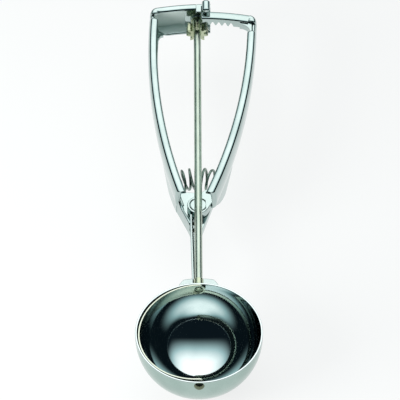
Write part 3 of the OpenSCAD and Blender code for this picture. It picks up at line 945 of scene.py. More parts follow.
def repeated(name: str, mesh: bpy.types.Mesh, count: int, step: Point, finish: MetalFinish) -> bpy.types.Object:
    """Repeats a small part in a row.

    Args:
        name: name of the object.
        mesh: the part, in its first place.
        count: number of copies.
        step: distance from one to the next, in millimetres.
        finish: its surface.

    Returns:
        One object that holds every copy.
    """
    master = bpy.data.objects.new(mesh.name, mesh)
    tree, given = new_tree("row_of_" + mesh.name, {
        "Part": "NodeSocketObject", "Count": "NodeSocketInt", "Step": "NodeSocketVector",
        "Material": "NodeSocketMaterial"})
    row = add_node(tree, "GeometryNodeMeshLine", {"Count": given.outputs["Count"],
                                                  "Offset": given.outputs["Step"]})
    part = add_node(tree, "GeometryNodeObjectInfo", {"Object": given.outputs["Part"]})
    copies = add_node(tree, "GeometryNodeInstanceOnPoints",
                      {"Points": row.outputs["Mesh"], "Instance": part.outputs["Geometry"]})
    end_tree(tree, copies.outputs["Instances"], given.outputs["Material"])
    thing = node_piece(name, tree, {"Part": master, "Count": count, "Step": tuple(s * MM for s in step),
                                    "Material": finish.material()})
    bpy.data.objects.remove(master)
    return thing


@dataclass(frozen=True)
class ReturnSpring:
    """Compression spring bent about the pivot, between the two handles."""

    outer_d: float = 11.0
    wire_d: float = 1.25
    turns: float = 6.5
    bend_r: float = 21.0
    half_angle: float = 29.0
    seat_angle: float = 31.0
    level: float = -7.3
    points_per_turn: int = 40

    def tree(self) -> bpy.types.NodeTree:
        """Builds the tree that winds the wire along its bent axis.

        Returns:
            The tree, with the spring's sizes as its inputs.
        """
        sizes = {name: "NodeSocketFloat" for name in ("Turns", "Bend radius", "Coil radius",
                                                       "Wire radius", "Half angle")}
        tree, given = new_tree("bent_coil", {**sizes, "Pivot": "NodeSocketVector",
                                             "Points": "NodeSocketInt", "Material": "NodeSocketMaterial"})
        sum_of = partial(reckoned, tree)
        line = add_node(tree, "GeometryNodeCurvePrimitiveLine", {"Start": (0, 0, 0), "End": (1, 0, 0)})
        fine = add_node(tree, "GeometryNodeResampleCurve",
                        {"Curve": line.outputs["Curve"], "Count": given.outputs["Points"]})
        share = add_node(tree, "GeometryNodeSplineParameter").outputs["Factor"]
        winding = sum_of("MULTIPLY", sum_of("MULTIPLY", share, math.tau), given.outputs["Turns"])
        across = sum_of("SUBTRACT", sum_of("MULTIPLY", share, 2.0), 1.0)
        bend = sum_of("MULTIPLY", across, given.outputs["Half angle"])
        reach = sum_of("ADD", given.outputs["Bend radius"],
                       sum_of("MULTIPLY", given.outputs["Coil radius"], sum_of("SINE", winding)))
        spot = add_node(tree, "ShaderNodeCombineXYZ", {
            "X": sum_of("MULTIPLY", reach, sum_of("SINE", bend)),
            "Y": sum_of("MULTIPLY", reach, sum_of("COSINE", bend)),
            "Z": sum_of("MULTIPLY", given.outputs["Coil radius"], sum_of("COSINE", winding))})
        there = add_node(tree, "ShaderNodeVectorMath", {0: spot.outputs["Vector"], 1: given.outputs["Pivot"]},
                         operation="ADD")
        wound = add_node(tree, "GeometryNodeSetPosition",
                         {"Geometry": fine.outputs["Curve"], "Position": there.outputs["Vector"]})
        section = add_node(tree, "GeometryNodeCurvePrimitiveCircle",
                           {"Resolution": 14, "Radius": given.outputs["Wire radius"]})
        wire = add_node(tree, "GeometryNodeCurveToMesh",
                        {"Curve": wound.outputs["Geometry"], "Profile Curve": section.outputs["Curve"],
                         "Fill Caps": True})
        smooth = add_node(tree, "GeometryNodeSetShadeSmooth", {"Geometry": wire.outputs["Mesh"]})
        end_tree(tree, smooth.outputs["Geometry"], given.outputs["Material"])
        return tree

    def build(self) -> None:
        """Winds the spring on its bent axis between the two handles."""
        pivot = DATUM.place((0.0, DATUM.pivot_y, self.level))
        thing = node_piece("return_spring", self.tree(), {
            "Turns": self.turns, "Bend radius": self.bend_r * MM,
            "Coil radius": (self.outer_d - self.wire_d) / 2 * MM, "Wire radius": self.wire_d / 2 * MM,
            "Half angle": math.radians(self.half_angle), "Pivot": tuple(pivot),
            "Points": round(self.turns * self.points_per_turn), "Material": SPRING_WIRE.material()})
        seats = [DATUM.place((*on_circle((0.0, DATUM.pivot_y), self.bend_r, 90 + side * self.seat_angle),
                              self.level)) for side in (1, -1)]
        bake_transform(thing)
        finish_piece(thing, SPRING_WIRE, None, "spring")


# ---------------------------------------------------------------- handles


@dataclass(frozen=True)
class Bend:
    """One circular stretch of a handle, drawn by its outer surface."""

    centre: Flat
    radius: float
    start: float = 0.0
    end: float = 0.0


def hull(circles: Iterable[Point], depth: float = 0.0, steps: int = 144) -> list[Flat]:
    """Outline stretched round circles.

    Args:
        circles: x, y and radius of each circle.
        depth: distance by which the outline is drawn in.
        steps: number of points.

    Returns:
        The points of the outline.
    """
    outline = []
    for i in range(steps):
        turn = math.tau * i / steps
        cos, sin = math.cos(turn), math.sin(turn)
        x, y, r = max(circles, key=lambda c: c[0] * cos + c[1] * sin + c[2])
        outline.append((x + (r - depth) * cos, y + (r - depth) * sin))
    return outline


def eased(distance: float, reach: float) -> float:
    """Quarter of a circle that rises from 0 at a cut to 1 at this reach from it."""
    share = min(max(distance / reach, 0.0), 1.0)
    return math.sqrt(1 - (1 - share) ** 2)


@dataclass(frozen=True)
class ChannelHandle:
    """Channel handle drawn on the right of the shaft: grip, top corner and arm.

    Attributes:
        reach: half width of the handles at the grip's widest point.
        arm_centre: centre of the arm's bend.
        arm_r: outer radius of the arm.
        arm_end: bearing at which the arm ends, or None where the corner ends the channel.
        arm_back_w: width of the arm's back flange.
        notch_drop: distance of the notch in the front flanges below the corner's centre.
        notch_w: width of that notch.
        spring_gap: lowest and highest place of the gap in the back flange beside the spring.
        grip_r: outer radius of the grip's long bend.
        peak: distance of the grip's widest point above the pivot.
        depth: depth of the channel, from front to back.
        flange_w: width of the grip's flanges.
        wall: thickness of the sheet.
        crown: height of the palm side's crown.
        lead: how much further out the front of the palm side stands than its back.
        corner_r: outer radius of the top corner.
        soft: radius of the bends between the palm side and the flanges.
        lip: radius of the flanges' free edges.
        fillet: radius of the bends' inside.
        bulge: drop of the front face at its two edges.
        end_lean: how much lower the front of the grip's end reaches than its back.
        start: place of the grip's end above the pivot.
        hip_back: level of the deeper wall's back edge.
    """

    reach: float
    arm_centre: Flat
    arm_r: float
    arm_end: float | None
    arm_back_w: float
    notch_drop: float
    notch_w: float
    spring_gap: Flat = (94.35, 110.15)
    grip_r: float = 344.0
    peak: float = 95.9
    depth: float = 14.9
    flange_w: float = 3.8
    wall: float = 1.6
    crown: float = 0.65
    lead: float = 0.6
    corner_r: float = 3.2
    soft: float = 1.6
    lip: float = 0.75
    fillet: float = 0.5
    bulge: float = 0.5
    end_lean: float = 3.4
    start: float = 0.9
    hip_back: float = -12.5

    @property
    def grip_centre(self) -> Flat:
        """Centre of the grip's long bend."""
        return self.reach - self.grip_r, DATUM.pivot_y + self.peak

    @property
    def corner(self) -> Flat:
        """Centre of the top corner."""
        return circles_meet(self.grip_centre, self.grip_r - self.corner_r,
                            self.arm_centre, self.arm_r - self.corner_r)

    def grip_bearing(self, y: float) -> float:
        """Gives the bearing on the grip's bend at this y."""
        return math.degrees(math.asin((y - self.grip_centre[1]) / self.grip_r))

    def section(self, front_w: float, back_w: float, dip: float) -> list[Flat]:
        """Section of the channel.

        Args:
            front_w: width of the front flange, down to the wall's thickness.
            back_w: width of the back flange, down to the wall's thickness.
            dip: distance by which the front edge is cut down.

        Returns:
            Outward place and level of each point.
        """
        t, soft = self.wall, self.soft
        front, back = DATUM.grip_front - dip, DATUM.grip_front - self.depth
        free_f, free_b = max(front_w - t, 0.0), max(back_w - t, 0.0)
        lip_f, lip_b = min(self.lip, front_w / 3), min(self.lip, back_w / 3)
        in_f, in_b = min(self.fillet, free_f * 0.5), min(self.fillet, free_b * 0.5)
        low, high = back + soft, front - soft
        crown = [(self.lead * share ** 2 + 4 * self.crown * share * (1 - share), low + (high - low) * share)
                 for share in (1 - k / 12 for k in range(1, 12))]
        outer_f = min(soft, max(front_w + self.lead - lip_f, 0.1))
        left, right = lip_f - front_w, self.lead - outer_f
        face = [*arc((left, front - lip_f), lip_f, 180, 90, 5),
                *[(left + (right - left) * k / 5, front) for k in range(1, 5)],
                *arc((right, front - outer_f), outer_f, 90, 0, 7)]
        half_w = (front_w + self.lead) / 2
        bulge = min(self.bulge, lip_f * 0.7)
        face = [(out, z - bulge * min(1.0, abs((out + front_w) / half_w - 1)) ** 2) for out, z in face]
        return [
            *arc((lip_f - front_w, front - t + lip_f), lip_f, 270, 180, 3), *face,
            *crown, *arc((-soft, low), soft, 0, -90, 5),
            *arc((lip_b - back_w, back + lip_b), lip_b, 270, 180, 3),
            *arc((lip_b - back_w, back + t - lip_b), lip_b, 180, 90, 3),
            *arc((-t - in_b, back + t + in_b), in_b, 270, 360, 3),
            *arc((-t - in_f, front - t - in_f), in_f, 0, 90, 3),
        ]

    def ring(self, bend: Bend, turn: float, outline: Sequence[Flat]) -> list[Point]:
        """Places a section on a bend.

        Args:
            bend: the bend.
            turn: bearing on it, in degrees.
            outline: outward place and level of each point.

        Returns:
            The ring of points.
        """
        return [(*on_circle(bend.centre, max(bend.radius + out, 0.03), turn), z) for out, z in outline]

    def grip_places(self, low: float, high: float) -> list[float]:
        """Gives the places along the grip where its section is drawn, close together at cuts."""
        notch_high = self.corner[1] - self.notch_drop
        cuts = (notch_high - self.notch_w, notch_high, *self.spring_gap)
        near = (0.0, 0.03, 0.1, 0.25, 0.45, 0.7, 1.0, 1.3, 1.6)
        step = 2.0
        places = {low + step * i for i in range(int((high - low) / step) + 1)} | {high}
        places |= {cut + side * gap for cut in (low, *cuts) for gap in near for side in (-1, 1)}
        return sorted(place for place in places if low <= place <= high)

    def grip_section(self, y: float) -> list[Flat]:
        """Gives the section of the grip at this y."""
        notch_high = self.corner[1] - self.notch_drop
        notch_low = notch_high - self.notch_w
        inside = notch_low < y < notch_high
        clear = max(notch_low - y, y - notch_high)
        front_ease, back_ease, dip_ease, edge_dip = 1.5, 1.3, 1.1, 0.75
        gate = 0.0 if inside else eased(clear, front_ease)
        dip = self.wall + 0.1 if inside else edge_dip * (1 - eased(clear, dip_ease))
        gap_low, gap_high = self.spring_gap
        back_gate = eased(max(gap_low - y, y - gap_high), back_ease)
        narrow = self.wall + 0.05
        return self.section(narrow + (self.flange_w - narrow) * gate,
                            narrow + (self.flange_w - narrow) * back_gate, dip)

    def tucked(self, y: float, beyond: float) -> list[Flat]:
        """Gives the section of the grip, whose outer side curls in towards the lower end.

        Args:
            y: place on the grip.
            beyond: distance of that place from the lower end.

        Returns:
            Outward place and level of each point.
        """
        curl_l = 1.2
        curl = 1.0 - eased(beyond, curl_l)
        return [(out - curl * max(0.0, 1 + out / self.wall), z) for out, z in self.grip_section(y)]

    def grip_ring(self, grip: Bend, y: float, outline: Sequence[Flat]) -> list[Point]:
        """Places a section on the grip, whose front reaches lower than its back at the lower end.

        Args:
            grip: the grip's bend.
            y: place on it.
            outline: outward place and level of each point.

        Returns:
            The ring of points.
        """
        faded = 12.0
        shift = self.end_lean * max(0.0, 1 - (y - DATUM.pivot_y) / faded)
        back = DATUM.grip_front - self.depth
        ring = []
        for out, z in outline:
            lean = math.degrees(shift * (z - back) / self.depth / self.grip_r)
            ring.append((*on_circle(grip.centre, grip.radius + out, self.grip_bearing(y) - lean), z))
        return ring

    def shell(self) -> Shell:
        """Draws the whole channel.

        Returns:
            The closed surfaces, on the right of the shaft.
        """
        edge, start_y = 0.3, DATUM.pivot_y + self.start
        corner, centre = self.corner, self.grip_centre
        grip = Bend(centre, self.grip_r, self.grip_bearing(start_y), bearing(centre, corner))
        top_y = on_circle(centre, self.grip_r, grip.end)[1]
        rings = [self.grip_ring(grip, start_y, inset(self.tucked(start_y, 0.0), edge))]
        rings += [self.grip_ring(grip, y, self.tucked(y, y - start_y - edge))
                  for y in self.grip_places(start_y + edge, top_y)]
        turn = Bend(corner, self.corner_r, grip.end, bearing(self.arm_centre, corner))
        most = self.corner_r - 0.02
        rings += [self.ring(turn, place, self.section(most, most, 0.0))
                  for place in spread(turn.start, turn.end, 14)]
        if self.arm_end is not None:
            arm = Bend(self.arm_centre, self.arm_r, turn.end, self.arm_end)
            widen_l = 5.0
            widening = [0.02, *(0.2 + 0.3 * i for i in range(8))]
            for place in (*widening, *spread(4.0, arm.end - arm.start, 24)):
                widen = eased(math.radians(place) * self.arm_r, widen_l)
                outline = self.section(most + (self.flange_w - most) * widen,
                                       most + (self.arm_back_w - most) * widen, 0.0)
                rings.append(self.ring(arm, arm.start + place, outline))
        inner_points = 9    # both inner bends, of four points each, and the flange point before them
        return Shell().loft(rings, inner_from=len(rings[0]) - inner_points)

    def web(self, shell: Shell, back_w: float) -> None:
        """Fills the inner corner between the back flanges.

        Args:
            shell: shell that gets the web.
            back_w: width of the back flange that meets the grip's.
        """
        reach, step = 2.0, 0.05
        x, y = self.corner[0] + self.corner_r, self.corner[1] + self.corner_r
        hollow = (x - self.flange_w - reach, y - back_w - reach)
        outline = [*arc(hollow, reach, 0, 90, 8), (hollow[0], hollow[1] + self.flange_w),
                   (hollow[0] + self.flange_w, hollow[1] + self.flange_w), (hollow[0] + self.flange_w, hollow[1])]
        back = DATUM.grip_front - self.depth
        shell.prism(outline, back + step, back + self.wall - step, edge=0.1)

    def deep_wall(self, shell: Shell, low: float, foot: float, foot_l: float) -> None:
        """Adds the deeper wall behind the spring.

        Args:
            shell: shell of the handle, still on the right.
            low: lower end of the wall.
            foot: level of its back edge at that end.
            foot_l: length over which the edge goes from there to its full depth.
        """
        grip_back = DATUM.grip_front - self.depth
        high = self.spring_gap[1]
        bend = Bend(self.grip_centre, self.grip_r)
        inner, outer, top, ramp_l = -1.0, -0.1, grip_back + 1.5, 12.0
        rings = []
        for y in spread(low, high, 40):
            rise = max(0.0, (y - (high - ramp_l)) / ramp_l)
            fall = max(0.0, 1 - (y - low) / foot_l) ** 2
            floor = self.hip_back + (grip_back - self.hip_back) * rise + (foot - self.hip_back) * fall
            outline = rounded([(inner, floor, 0.3), (outer, floor, 0.3), (outer, top, 0.1), (inner, top, 0.1)])
            rings.append(self.ring(bend, self.grip_bearing(y), outline))
        shell.loft(rings)


@dataclass(frozen=True)
class SpringSeat:
    """Round seat and peg that hold one end of the spring."""

    side: int
    disc_d: float = 10.4
    peg_d: float = 7.2
    peg_l: float = 2.2
    reach: float = 6.0
    spring: ReturnSpring = ReturnSpring()

    def shell(self, wall_centre: Flat, wall_r: float) -> Shell:
        """Draws the seat, which ends inside the handle's wall.

        Args:
            wall_centre: centre of the wall's bend.
            wall_r: radius of the middle of the wall.

        Returns:
            The seat and its peg.
        """
        turn = 90 - self.side * self.spring.seat_angle
        origin = (*on_circle((0.0, DATUM.pivot_y), self.spring.bend_r, turn), self.spring.level)
        away = Vector(on_circle((0.0, 0.0), 1.0, turn - self.side * 90))
        spot = Spot(origin, axis=(*away, 0.0), side=(0.0, 0.0, 1.0))

        def held_back(point: Point) -> Point:
            """Slides a point back along the seat's axis until the wall holds it."""
            out = Vector(point[:2]) - Vector(wall_centre)
            beyond = out.length_squared - wall_r ** 2
            if beyond <= 0:
                return point
            along = out.dot(away)
            back = along - math.sqrt(max(along * along - beyond, 0.0))
            return point[0] - away.x * back, point[1] - away.y * back, point[2]

        shell = Shell().lathe(turned(self.disc_d / 2, 0.0, self.reach, 0.3), spot)
        return shell.lathe(turned(self.peg_d / 2, -self.peg_l, 0.1, 0.5), spot).moved(held_back)


def holed_plate(shell: Shell, circles: Sequence[Point], hole: Point, low: float, high: float,
                recess: Flat, edge: float = 0.3) -> None:
    """Adds a plate with a stepped round hole.

    Args:
        shell: shell that gets the plate.
        circles: circles that its outline is stretched round.
        hole: x, y and radius of the hole.
        low: level of its lower face.
        high: level of its upper face.
        recess: radius and depth of the recess at the hole's upper end.
        edge: radius of its outer edges.
    """
    x, y, radius = hole
    wide, deep = recess
    rings = []
    levels = edge_levels(low, high, edge)[::-1]
    outlines = [hull(circles, depth) for depth, _ in levels]
    soft = 0.3
    for i, point in enumerate(hull(circles)):
        turn = bearing((x, y), point)
        bore = [(radius, low), (radius, high - deep), (wide, high - deep), (wide, high - soft), (wide + soft, high)]
        rings.append([(*outline[i], level) for outline, (_, level) in zip(outlines, levels)]
                     + [(*on_circle((x, y), r, turn), level) for r, level in bore])
    shell.loft(rings, looped=True)


@dataclass(frozen=True)
class FixedHandle:
    """Fixed handle on the left, with its arm, boss and pivot plate, and the parts fixed in its boss."""

    reach: float = 23.75
    arm_dx: float = 4.3
    arm_dy: float = 0.1
    arm_r: float = 124.7
    apron_w: float = 7.2
    boss_left: float = -6.0
    boss_right: float = 6.7
    boss_w: float = 3.5
    boss_drop: float = 0.6
    plate_back: float = -10.6
    plate_front: float = -6.8
    hip: Point = (-11.3, 11.0, 1.6)
    shoulder: Point = (6.8, 9.0, 1.6)
    tongue: Point = (-1.2, -12.7, 2.9)
    skirt_start: Flat = (-10.5, 2.2)
    skirt_end: Flat = (-4.2, -12.6)
    skirt_t: float = 1.3
    wall_start: float = 2.0
    wall_foot: float = 0.2
    wall_foot_l: float = 13.0
    skirt_high: float = 6.6
    skirt_low: float = -2.2
    finger_r: float = 2.05
    finger_x: float = 4.45
    finger_l: float = 7.2
    finger_flat: float = 0.7
    tab_left: float = -0.7
    tab_w: float = 2.9
    tab_l: float = 5.2
    tab_t: float = 1.25
    lift: float = 0.25
    bush_r: float = 2.7
    bush_flange_r: float = 3.5
    bush_flange_t: float = 0.5

    @property
    def channel(self) -> ChannelHandle:
        """The handle's channel, drawn on the right."""
        centre = (-self.arm_dx, DATUM.pivot_y + self.arm_dy)
        end = 90 + math.degrees(math.asin((self.boss_right - self.arm_dx) / self.arm_r))
        return ChannelHandle(self.reach, centre, self.arm_r, end, self.apron_w, notch_drop=1.0, notch_w=3.0)

    @property
    def boss_y(self) -> float:
        """Lower face of the boss."""
        return DATUM.pivot_y + self.arm_dy + self.arm_r - self.boss_w

    def skirt(self, shell: Shell) -> None:
        """Adds the edge that carries the grip's wall down along the pivot plate, ever lower.

        Args:
            shell: shell of the handle, in its final place.
        """
        start, end = Vector(self.skirt_start), Vector(self.skirt_end)
        along = (end - start).normalized()
        into = Vector((-along.y, along.x))
        fall, tail, tail_drop = 0.45, 0.12, 1.4
        rings = []
        for share in spread(0.0, 1.0, 24):
            place = start + (end - start) * share
            top = self.skirt_low + (self.skirt_high - self.skirt_low) * (1 - eased(share, fall))
            top -= tail_drop * (1 - eased(1 - share, tail))
            section = rounded([(0.0, self.plate_back + 0.1, 0.3), (0.0, top, 0.6), (self.skirt_t, top, 0.6),
                               (self.skirt_t, self.plate_back + 0.1, 0.3)])
            rings.append([(place.x + into.x * deep, DATUM.pivot_y + place.y + into.y * deep, z)
                          for deep, z in section])
        shell.loft(rings)

    def handle(self) -> bpy.types.Object:
        """Makes the pressed handle."""
        channel = self.channel
        shell = channel.shell()
        channel.web(shell, self.apron_w)
        channel.deep_wall(shell, DATUM.pivot_y + self.wall_start, self.plate_back + self.wall_foot,
                          self.wall_foot_l)
        shell.moved(lambda p: (-p[0], p[1], p[2]))
        back = DATUM.grip_front - channel.depth + 0.05
        centre = (self.arm_dx, DATUM.pivot_y + self.arm_dy)
        ends = [bearing(centre, (x, self.boss_y + self.boss_w)) for x in (self.boss_right - 0.1, self.boss_left)]
        outline = [(self.boss_left, self.boss_y), (self.boss_right - 0.1, self.boss_y),
                   *arc(centre, self.arm_r - 1.0, ends[0], ends[1], 8)]
        shell.prism(outline, back, DATUM.grip_front - self.boss_drop, edge=0.35)
        plate = [(x, DATUM.pivot_y + y, r) for x, y, r in (self.hip, self.shoulder, self.tongue)]
        broken = ((0.35, 0.0), (0.1, 0.1), (0.0, 0.35))
        levels = [(depth, self.plate_back + rise) for depth, rise in broken]
        levels += [(depth, self.plate_front - rise) for depth, rise in reversed(broken)]
        shell.loft([[(x, y, z) for x, y in hull(plate, depth)] for depth, z in levels])
        self.skirt(shell)
        wall = (-channel.grip_centre[0], channel.grip_centre[1])
        shell.join(SpringSeat(-1).shell(wall, channel.grip_r - channel.wall / 2))
        # The inner faces take the pale chrome copy, whose tone is painted light.
        return piece("fixed_grip", shell, CHROME, Body.ROOT, "fixed_handle", inside=PRESSED_PAINTED_LIGHT)

    def guide(self) -> bpy.types.Object:
        """Makes the tab and the finger that keep the rack down."""
        front = DATUM.grip_front
        top_y = self.boss_y + 1.2
        finger_z = front + self.lift + self.finger_r
        shell = Shell()
        tab_right, tab_low = self.tab_left + self.tab_w, top_y - self.tab_l
        tab = rounded([(self.tab_left, tab_low, 0.5), (tab_right, tab_low, 0.5), (tab_right, top_y, 0.7),
                       (self.tab_left, top_y, 0.7)])
        shell.prism(tab, front + self.lift, front + self.lift + self.tab_t, edge=0.35)
        foot = rounded([(self.tab_left, self.boss_y + 0.2, 0.2), (self.finger_x, self.boss_y + 0.2, 0.2),
                        (self.finger_x, top_y - 0.02, 0.2), (self.tab_left, top_y - 0.02, 0.2)])
        shell.prism(foot, front - self.boss_drop - 0.1, front + self.lift + self.tab_t - 0.03, edge=0.1)
        high = top_y + 0.9
        low = high - self.finger_l
        blunt = 1.3
        side = self.finger_r - blunt
        profile = [(0.0, low), *arc((side, low + blunt), blunt, -90, 0, 8),
                   *arc((side, high - blunt), blunt, 0, 90, 8), (0.0, high)]
        spot = Spot((self.finger_x, 0.0, finger_z), axis=(0.0, 1.0, 0.0))
        top = finger_z + self.finger_r
        finger = Shell().lathe(profile, spot, steps=48)
        shell.join(finger.moved(lambda p: (p[0], p[1], top - (top - p[2]) * self.finger_flat)))
        post_r, post_l = 1.2, 2.8
        shell.lathe(turned(post_r, front - post_l, finger_z, 0.1), upright(self.finger_x, top_y))
        return piece("rack_guide_finger", shell, CHROME, Body.ROOT, "rack_guide")

    def bush(self) -> bpy.types.Object:
        """Makes the flanged bush in the boss."""
        bore = DATUM.shaft_r + 0.05
        low = self.boss_y - self.bush_flange_t
        profile = rounded([(bore, low, 0.08), (self.bush_flange_r, low, 0.15), (self.bush_flange_r, self.boss_y, 0.1),
                           (self.bush_r, self.boss_y, 0.05), (self.bush_r, DATUM.shaft_high, 0.1),
                           (bore, DATUM.shaft_high, 0.1)])
        return piece("boss_bush", Shell().lathe(profile, along_shaft(), hollow=True), SATIN_STEEL, Body.ROOT,
                     "top_bush")

    def washer(self) -> bpy.types.Object:
        """Makes the thrust washer under the bush."""
        thick, outer = 0.35, self.bush_flange_r - 0.3
        low = self.boss_y - self.bush_flange_t - 0.02 - thick
        profile = tube(outer, DATUM.shaft_r + 0.05, low, low + thick, 0.08)
        return piece("thrust_ring", Shell().lathe(profile, along_shaft(), hollow=True), NICKEL, Body.ROOT,
                     "thrust_washer")

    def build(self) -> None:
        """Builds the fixed handle and the parts in its boss."""
        self.handle()
        self.guide()
        self.bush()
        self.washer()


@dataclass(frozen=True)
class LeverHandle:
    """Lever on the right, with the face rack on its arm; drawn closed and then opened."""

    reach: float = 21.6
    rack_in_r: float = 114.5
    rack_w: float = 5.1
    rack_low: float = 3.7
    rack_root: float = 5.75
    open_angle: float = 4.0
    eye_r: float = 5.3
    lobe: Point = (6.2, 8.6, 3.0)
    plate_back: float = -6.2
    plate_front: float = -2.3
    pin_r: float = 3.05
    recess: Flat = (4.1, 1.3)
    teeth: int = 232
    first: int = 1
    last: int = 5
    gap_half: float = 0.885
    pressure: float = 25.0
    foot_sunk: float = 1.5
    wall_start: float = 3.0
    wall_foot: float = 0.3
    wall_foot_l: float = 14.0

    @property
    def pivot(self) -> Flat:
        """Place of the pivot."""
        return 0.0, DATUM.pivot_y

    @property
    def channel(self) -> ChannelHandle:
        """The lever's channel, as it stands closed."""
        return ChannelHandle(self.reach, self.pivot, self.rack_in_r + self.rack_w, None, arm_back_w=3.8,
                             notch_drop=1.4, notch_w=6.0)

    def opened(self, point: Point) -> Point:
        """Turns a point by the angle at which the lever stands open."""
        turn = math.radians(-self.open_angle)
        x, y = point[0], point[1] - DATUM.pivot_y
        return (x * math.cos(turn) - y * math.sin(turn),
                DATUM.pivot_y + x * math.sin(turn) + y * math.cos(turn), point[2])

    def handle(self) -> bpy.types.Object:
        """Makes the pressed lever."""
        channel = self.channel
        shell = channel.shell()
        eye = (*self.pivot, self.eye_r)
        lobe = (self.lobe[0], DATUM.pivot_y + self.lobe[1], self.lobe[2])
        holed_plate(shell, (eye, lobe), (*self.pivot, self.pin_r), self.plate_back, self.plate_front, self.recess)
        channel.deep_wall(shell, DATUM.pivot_y + self.wall_start, self.plate_back + self.wall_foot,
                          self.wall_foot_l)
        shell.moved(self.opened)
        wall = self.opened((*channel.grip_centre, 0.0))[:2]
        shell.join(SpringSeat(1).shell(wall, channel.grip_r - channel.wall / 2))
        # The inner faces take the pale chrome copy, whose tone is painted light.
        return piece("lever_grip", shell, CHROME, Body.LEVER, "lever_handle", inside=PRESSED_PAINTED_LIGHT)

    def tooth_line(self) -> list[tuple[float, float]]:
        """Bearing and level of each break in the rack's lower side, from right to left."""
        step = 360 / self.teeth
        tip = self.rack_low
        pitch_level, mean_depth = 4.5, 1.5
        lean = math.tan(math.radians(self.pressure))
        at_tip = self.gap_half + (pitch_level - tip) * lean
        at_root = self.gap_half - (self.rack_root - pitch_level) * lean
        mm = math.degrees(1 / (self.rack_in_r + mean_depth))
        breaks = []
        for k in range(self.last, self.first - 2, -1):
            centre = 90 - (k + 0.5) * step
            breaks += [(centre - at_tip * mm, tip), (centre - at_root * mm, self.rack_root),
                       (centre + at_root * mm, self.rack_root), (centre + at_tip * mm, tip)]
        return breaks

    def bar_section(self, low: float) -> list[Flat]:
        """Section of the rack bar whose lower side is at this level."""
        wide, front = self.rack_w, DATUM.grip_front
        soft, crisp, drop = 1.0, 0.12, 0.35
        return rounded([(0.0, low, crisp), (wide, low, crisp), (wide, front - drop, soft),
                        (wide / 2, front + 0.08, 9.0), (0.0, front - drop, soft)])

    def rack(self) -> bpy.types.Object:
        """Makes the curved face rack with its foot in the lever's corner."""
        channel = self.channel
        right = bearing(self.pivot, channel.corner) - self.open_angle
        cut_tooth, end_edge, end_turn = 0.36, 0.3, 0.15
        left = 90 - (self.first - cut_tooth) * 360 / self.teeth
        breaks = [(turn, low) for turn, low in self.tooth_line() if turn < left]
        plain = [(turn, self.rack_low) for turn in spread(right, breaks[0][0], 10)[:-1]]
        spots = [*plain, *breaks]
        (t0, z0), (t1, z1) = next(((t, z), (u, w)) for (t, z), (u, w)
                                  in zip(self.tooth_line(), self.tooth_line()[1:]) if t < left <= u)
        spots.append((left, z0 + (z1 - z0) * (left - t0) / (t1 - t0)))

        def ring(turn: float, outline: Sequence[Flat]) -> list[Point]:
            """Places a section of the bar at a bearing."""
            return [(*on_circle(self.pivot, self.rack_in_r + out, turn), z) for out, z in outline]

        rings = [ring(turn, self.bar_section(low)) for turn, low in spots]
        end = inset(self.bar_section(spots[-1][1]), end_edge)
        rings[-1] = ring(left - end_turn, self.bar_section(spots[-1][1]))
        rings.append(ring(left, end))
        shell = Shell().loft(rings)
        shell.join(self.foot().moved(self.opened))
        return piece("face_rack", shell, CHROME, Body.LEVER, "gear_rack")

    def foot(self) -> Shell:
        """Draws the rounded foot between the bar and the grip.

        Returns:
            Its surfaces, as the lever stands closed.
        """
        channel = self.channel
        reach, overlap = 6.0, 1.5
        x0 = channel.corner[0] + channel.corner_r - channel.wall - reach
        y0 = channel.corner[1] + channel.corner_r - self.rack_w - reach
        inner_r = channel.grip_r - channel.wall - 0.02
        right = [on_circle(channel.grip_centre, inner_r,
                           math.degrees(math.asin((y - channel.grip_centre[1]) / inner_r)))
                 for y in (y0 + reach + overlap, y0)]
        outline = [*arc((x0, y0), reach - 0.5, 0, 90, 16), (x0, y0 + reach + overlap), *right]
        return Shell().prism(outline, self.rack_low + 0.05, DATUM.grip_front - self.foot_sunk, edge=0.15)

    def build(self) -> None:
        """Builds the lever."""
        self.handle()
        self.rack()


@dataclass(frozen=True)
class PivotJoint:
    """Pin and washer that join the two handles."""

    pin_d: float = 6.0
    head_d: float = 7.8
    head_t: float = 1.2
    front: float = -2.3
    back: float = -10.6
    back_head: Flat = (4.2, 1.1)
    washer_low: float = -6.75
    washer_t: float = 0.5

    def build(self) -> None:
        """Builds the pin and the washer."""
        shank, head = self.pin_d / 2, self.head_d / 2
        edge = 0.35
        under = self.front - self.head_t
        profile = [*hanging_dome(*self.back_head, self.back), (shank, self.back), (shank, under), (head, under),
                   *arc((head - edge, self.front - edge), edge, 0, 90),
                   *[(head * k / 8, self.front) for k in range(7, -1, -1)]]
        spot = upright(0.0, DATUM.pivot_y)
        piece("pivot_rivet", Shell().lathe(profile, spot, steps=96), CHROME, Body.ROOT, "pivot_pin")
        ring = tube(shank + 1.8, shank + 0.05, self.washer_low, self.washer_low + self.washer_t, 0.1)
        piece("pivot_ring", Shell().lathe(ring, spot, hollow=True), SATIN_STEEL, Body.ROOT, "pivot_washer")


# ---------------------------------------------------------------- scraper


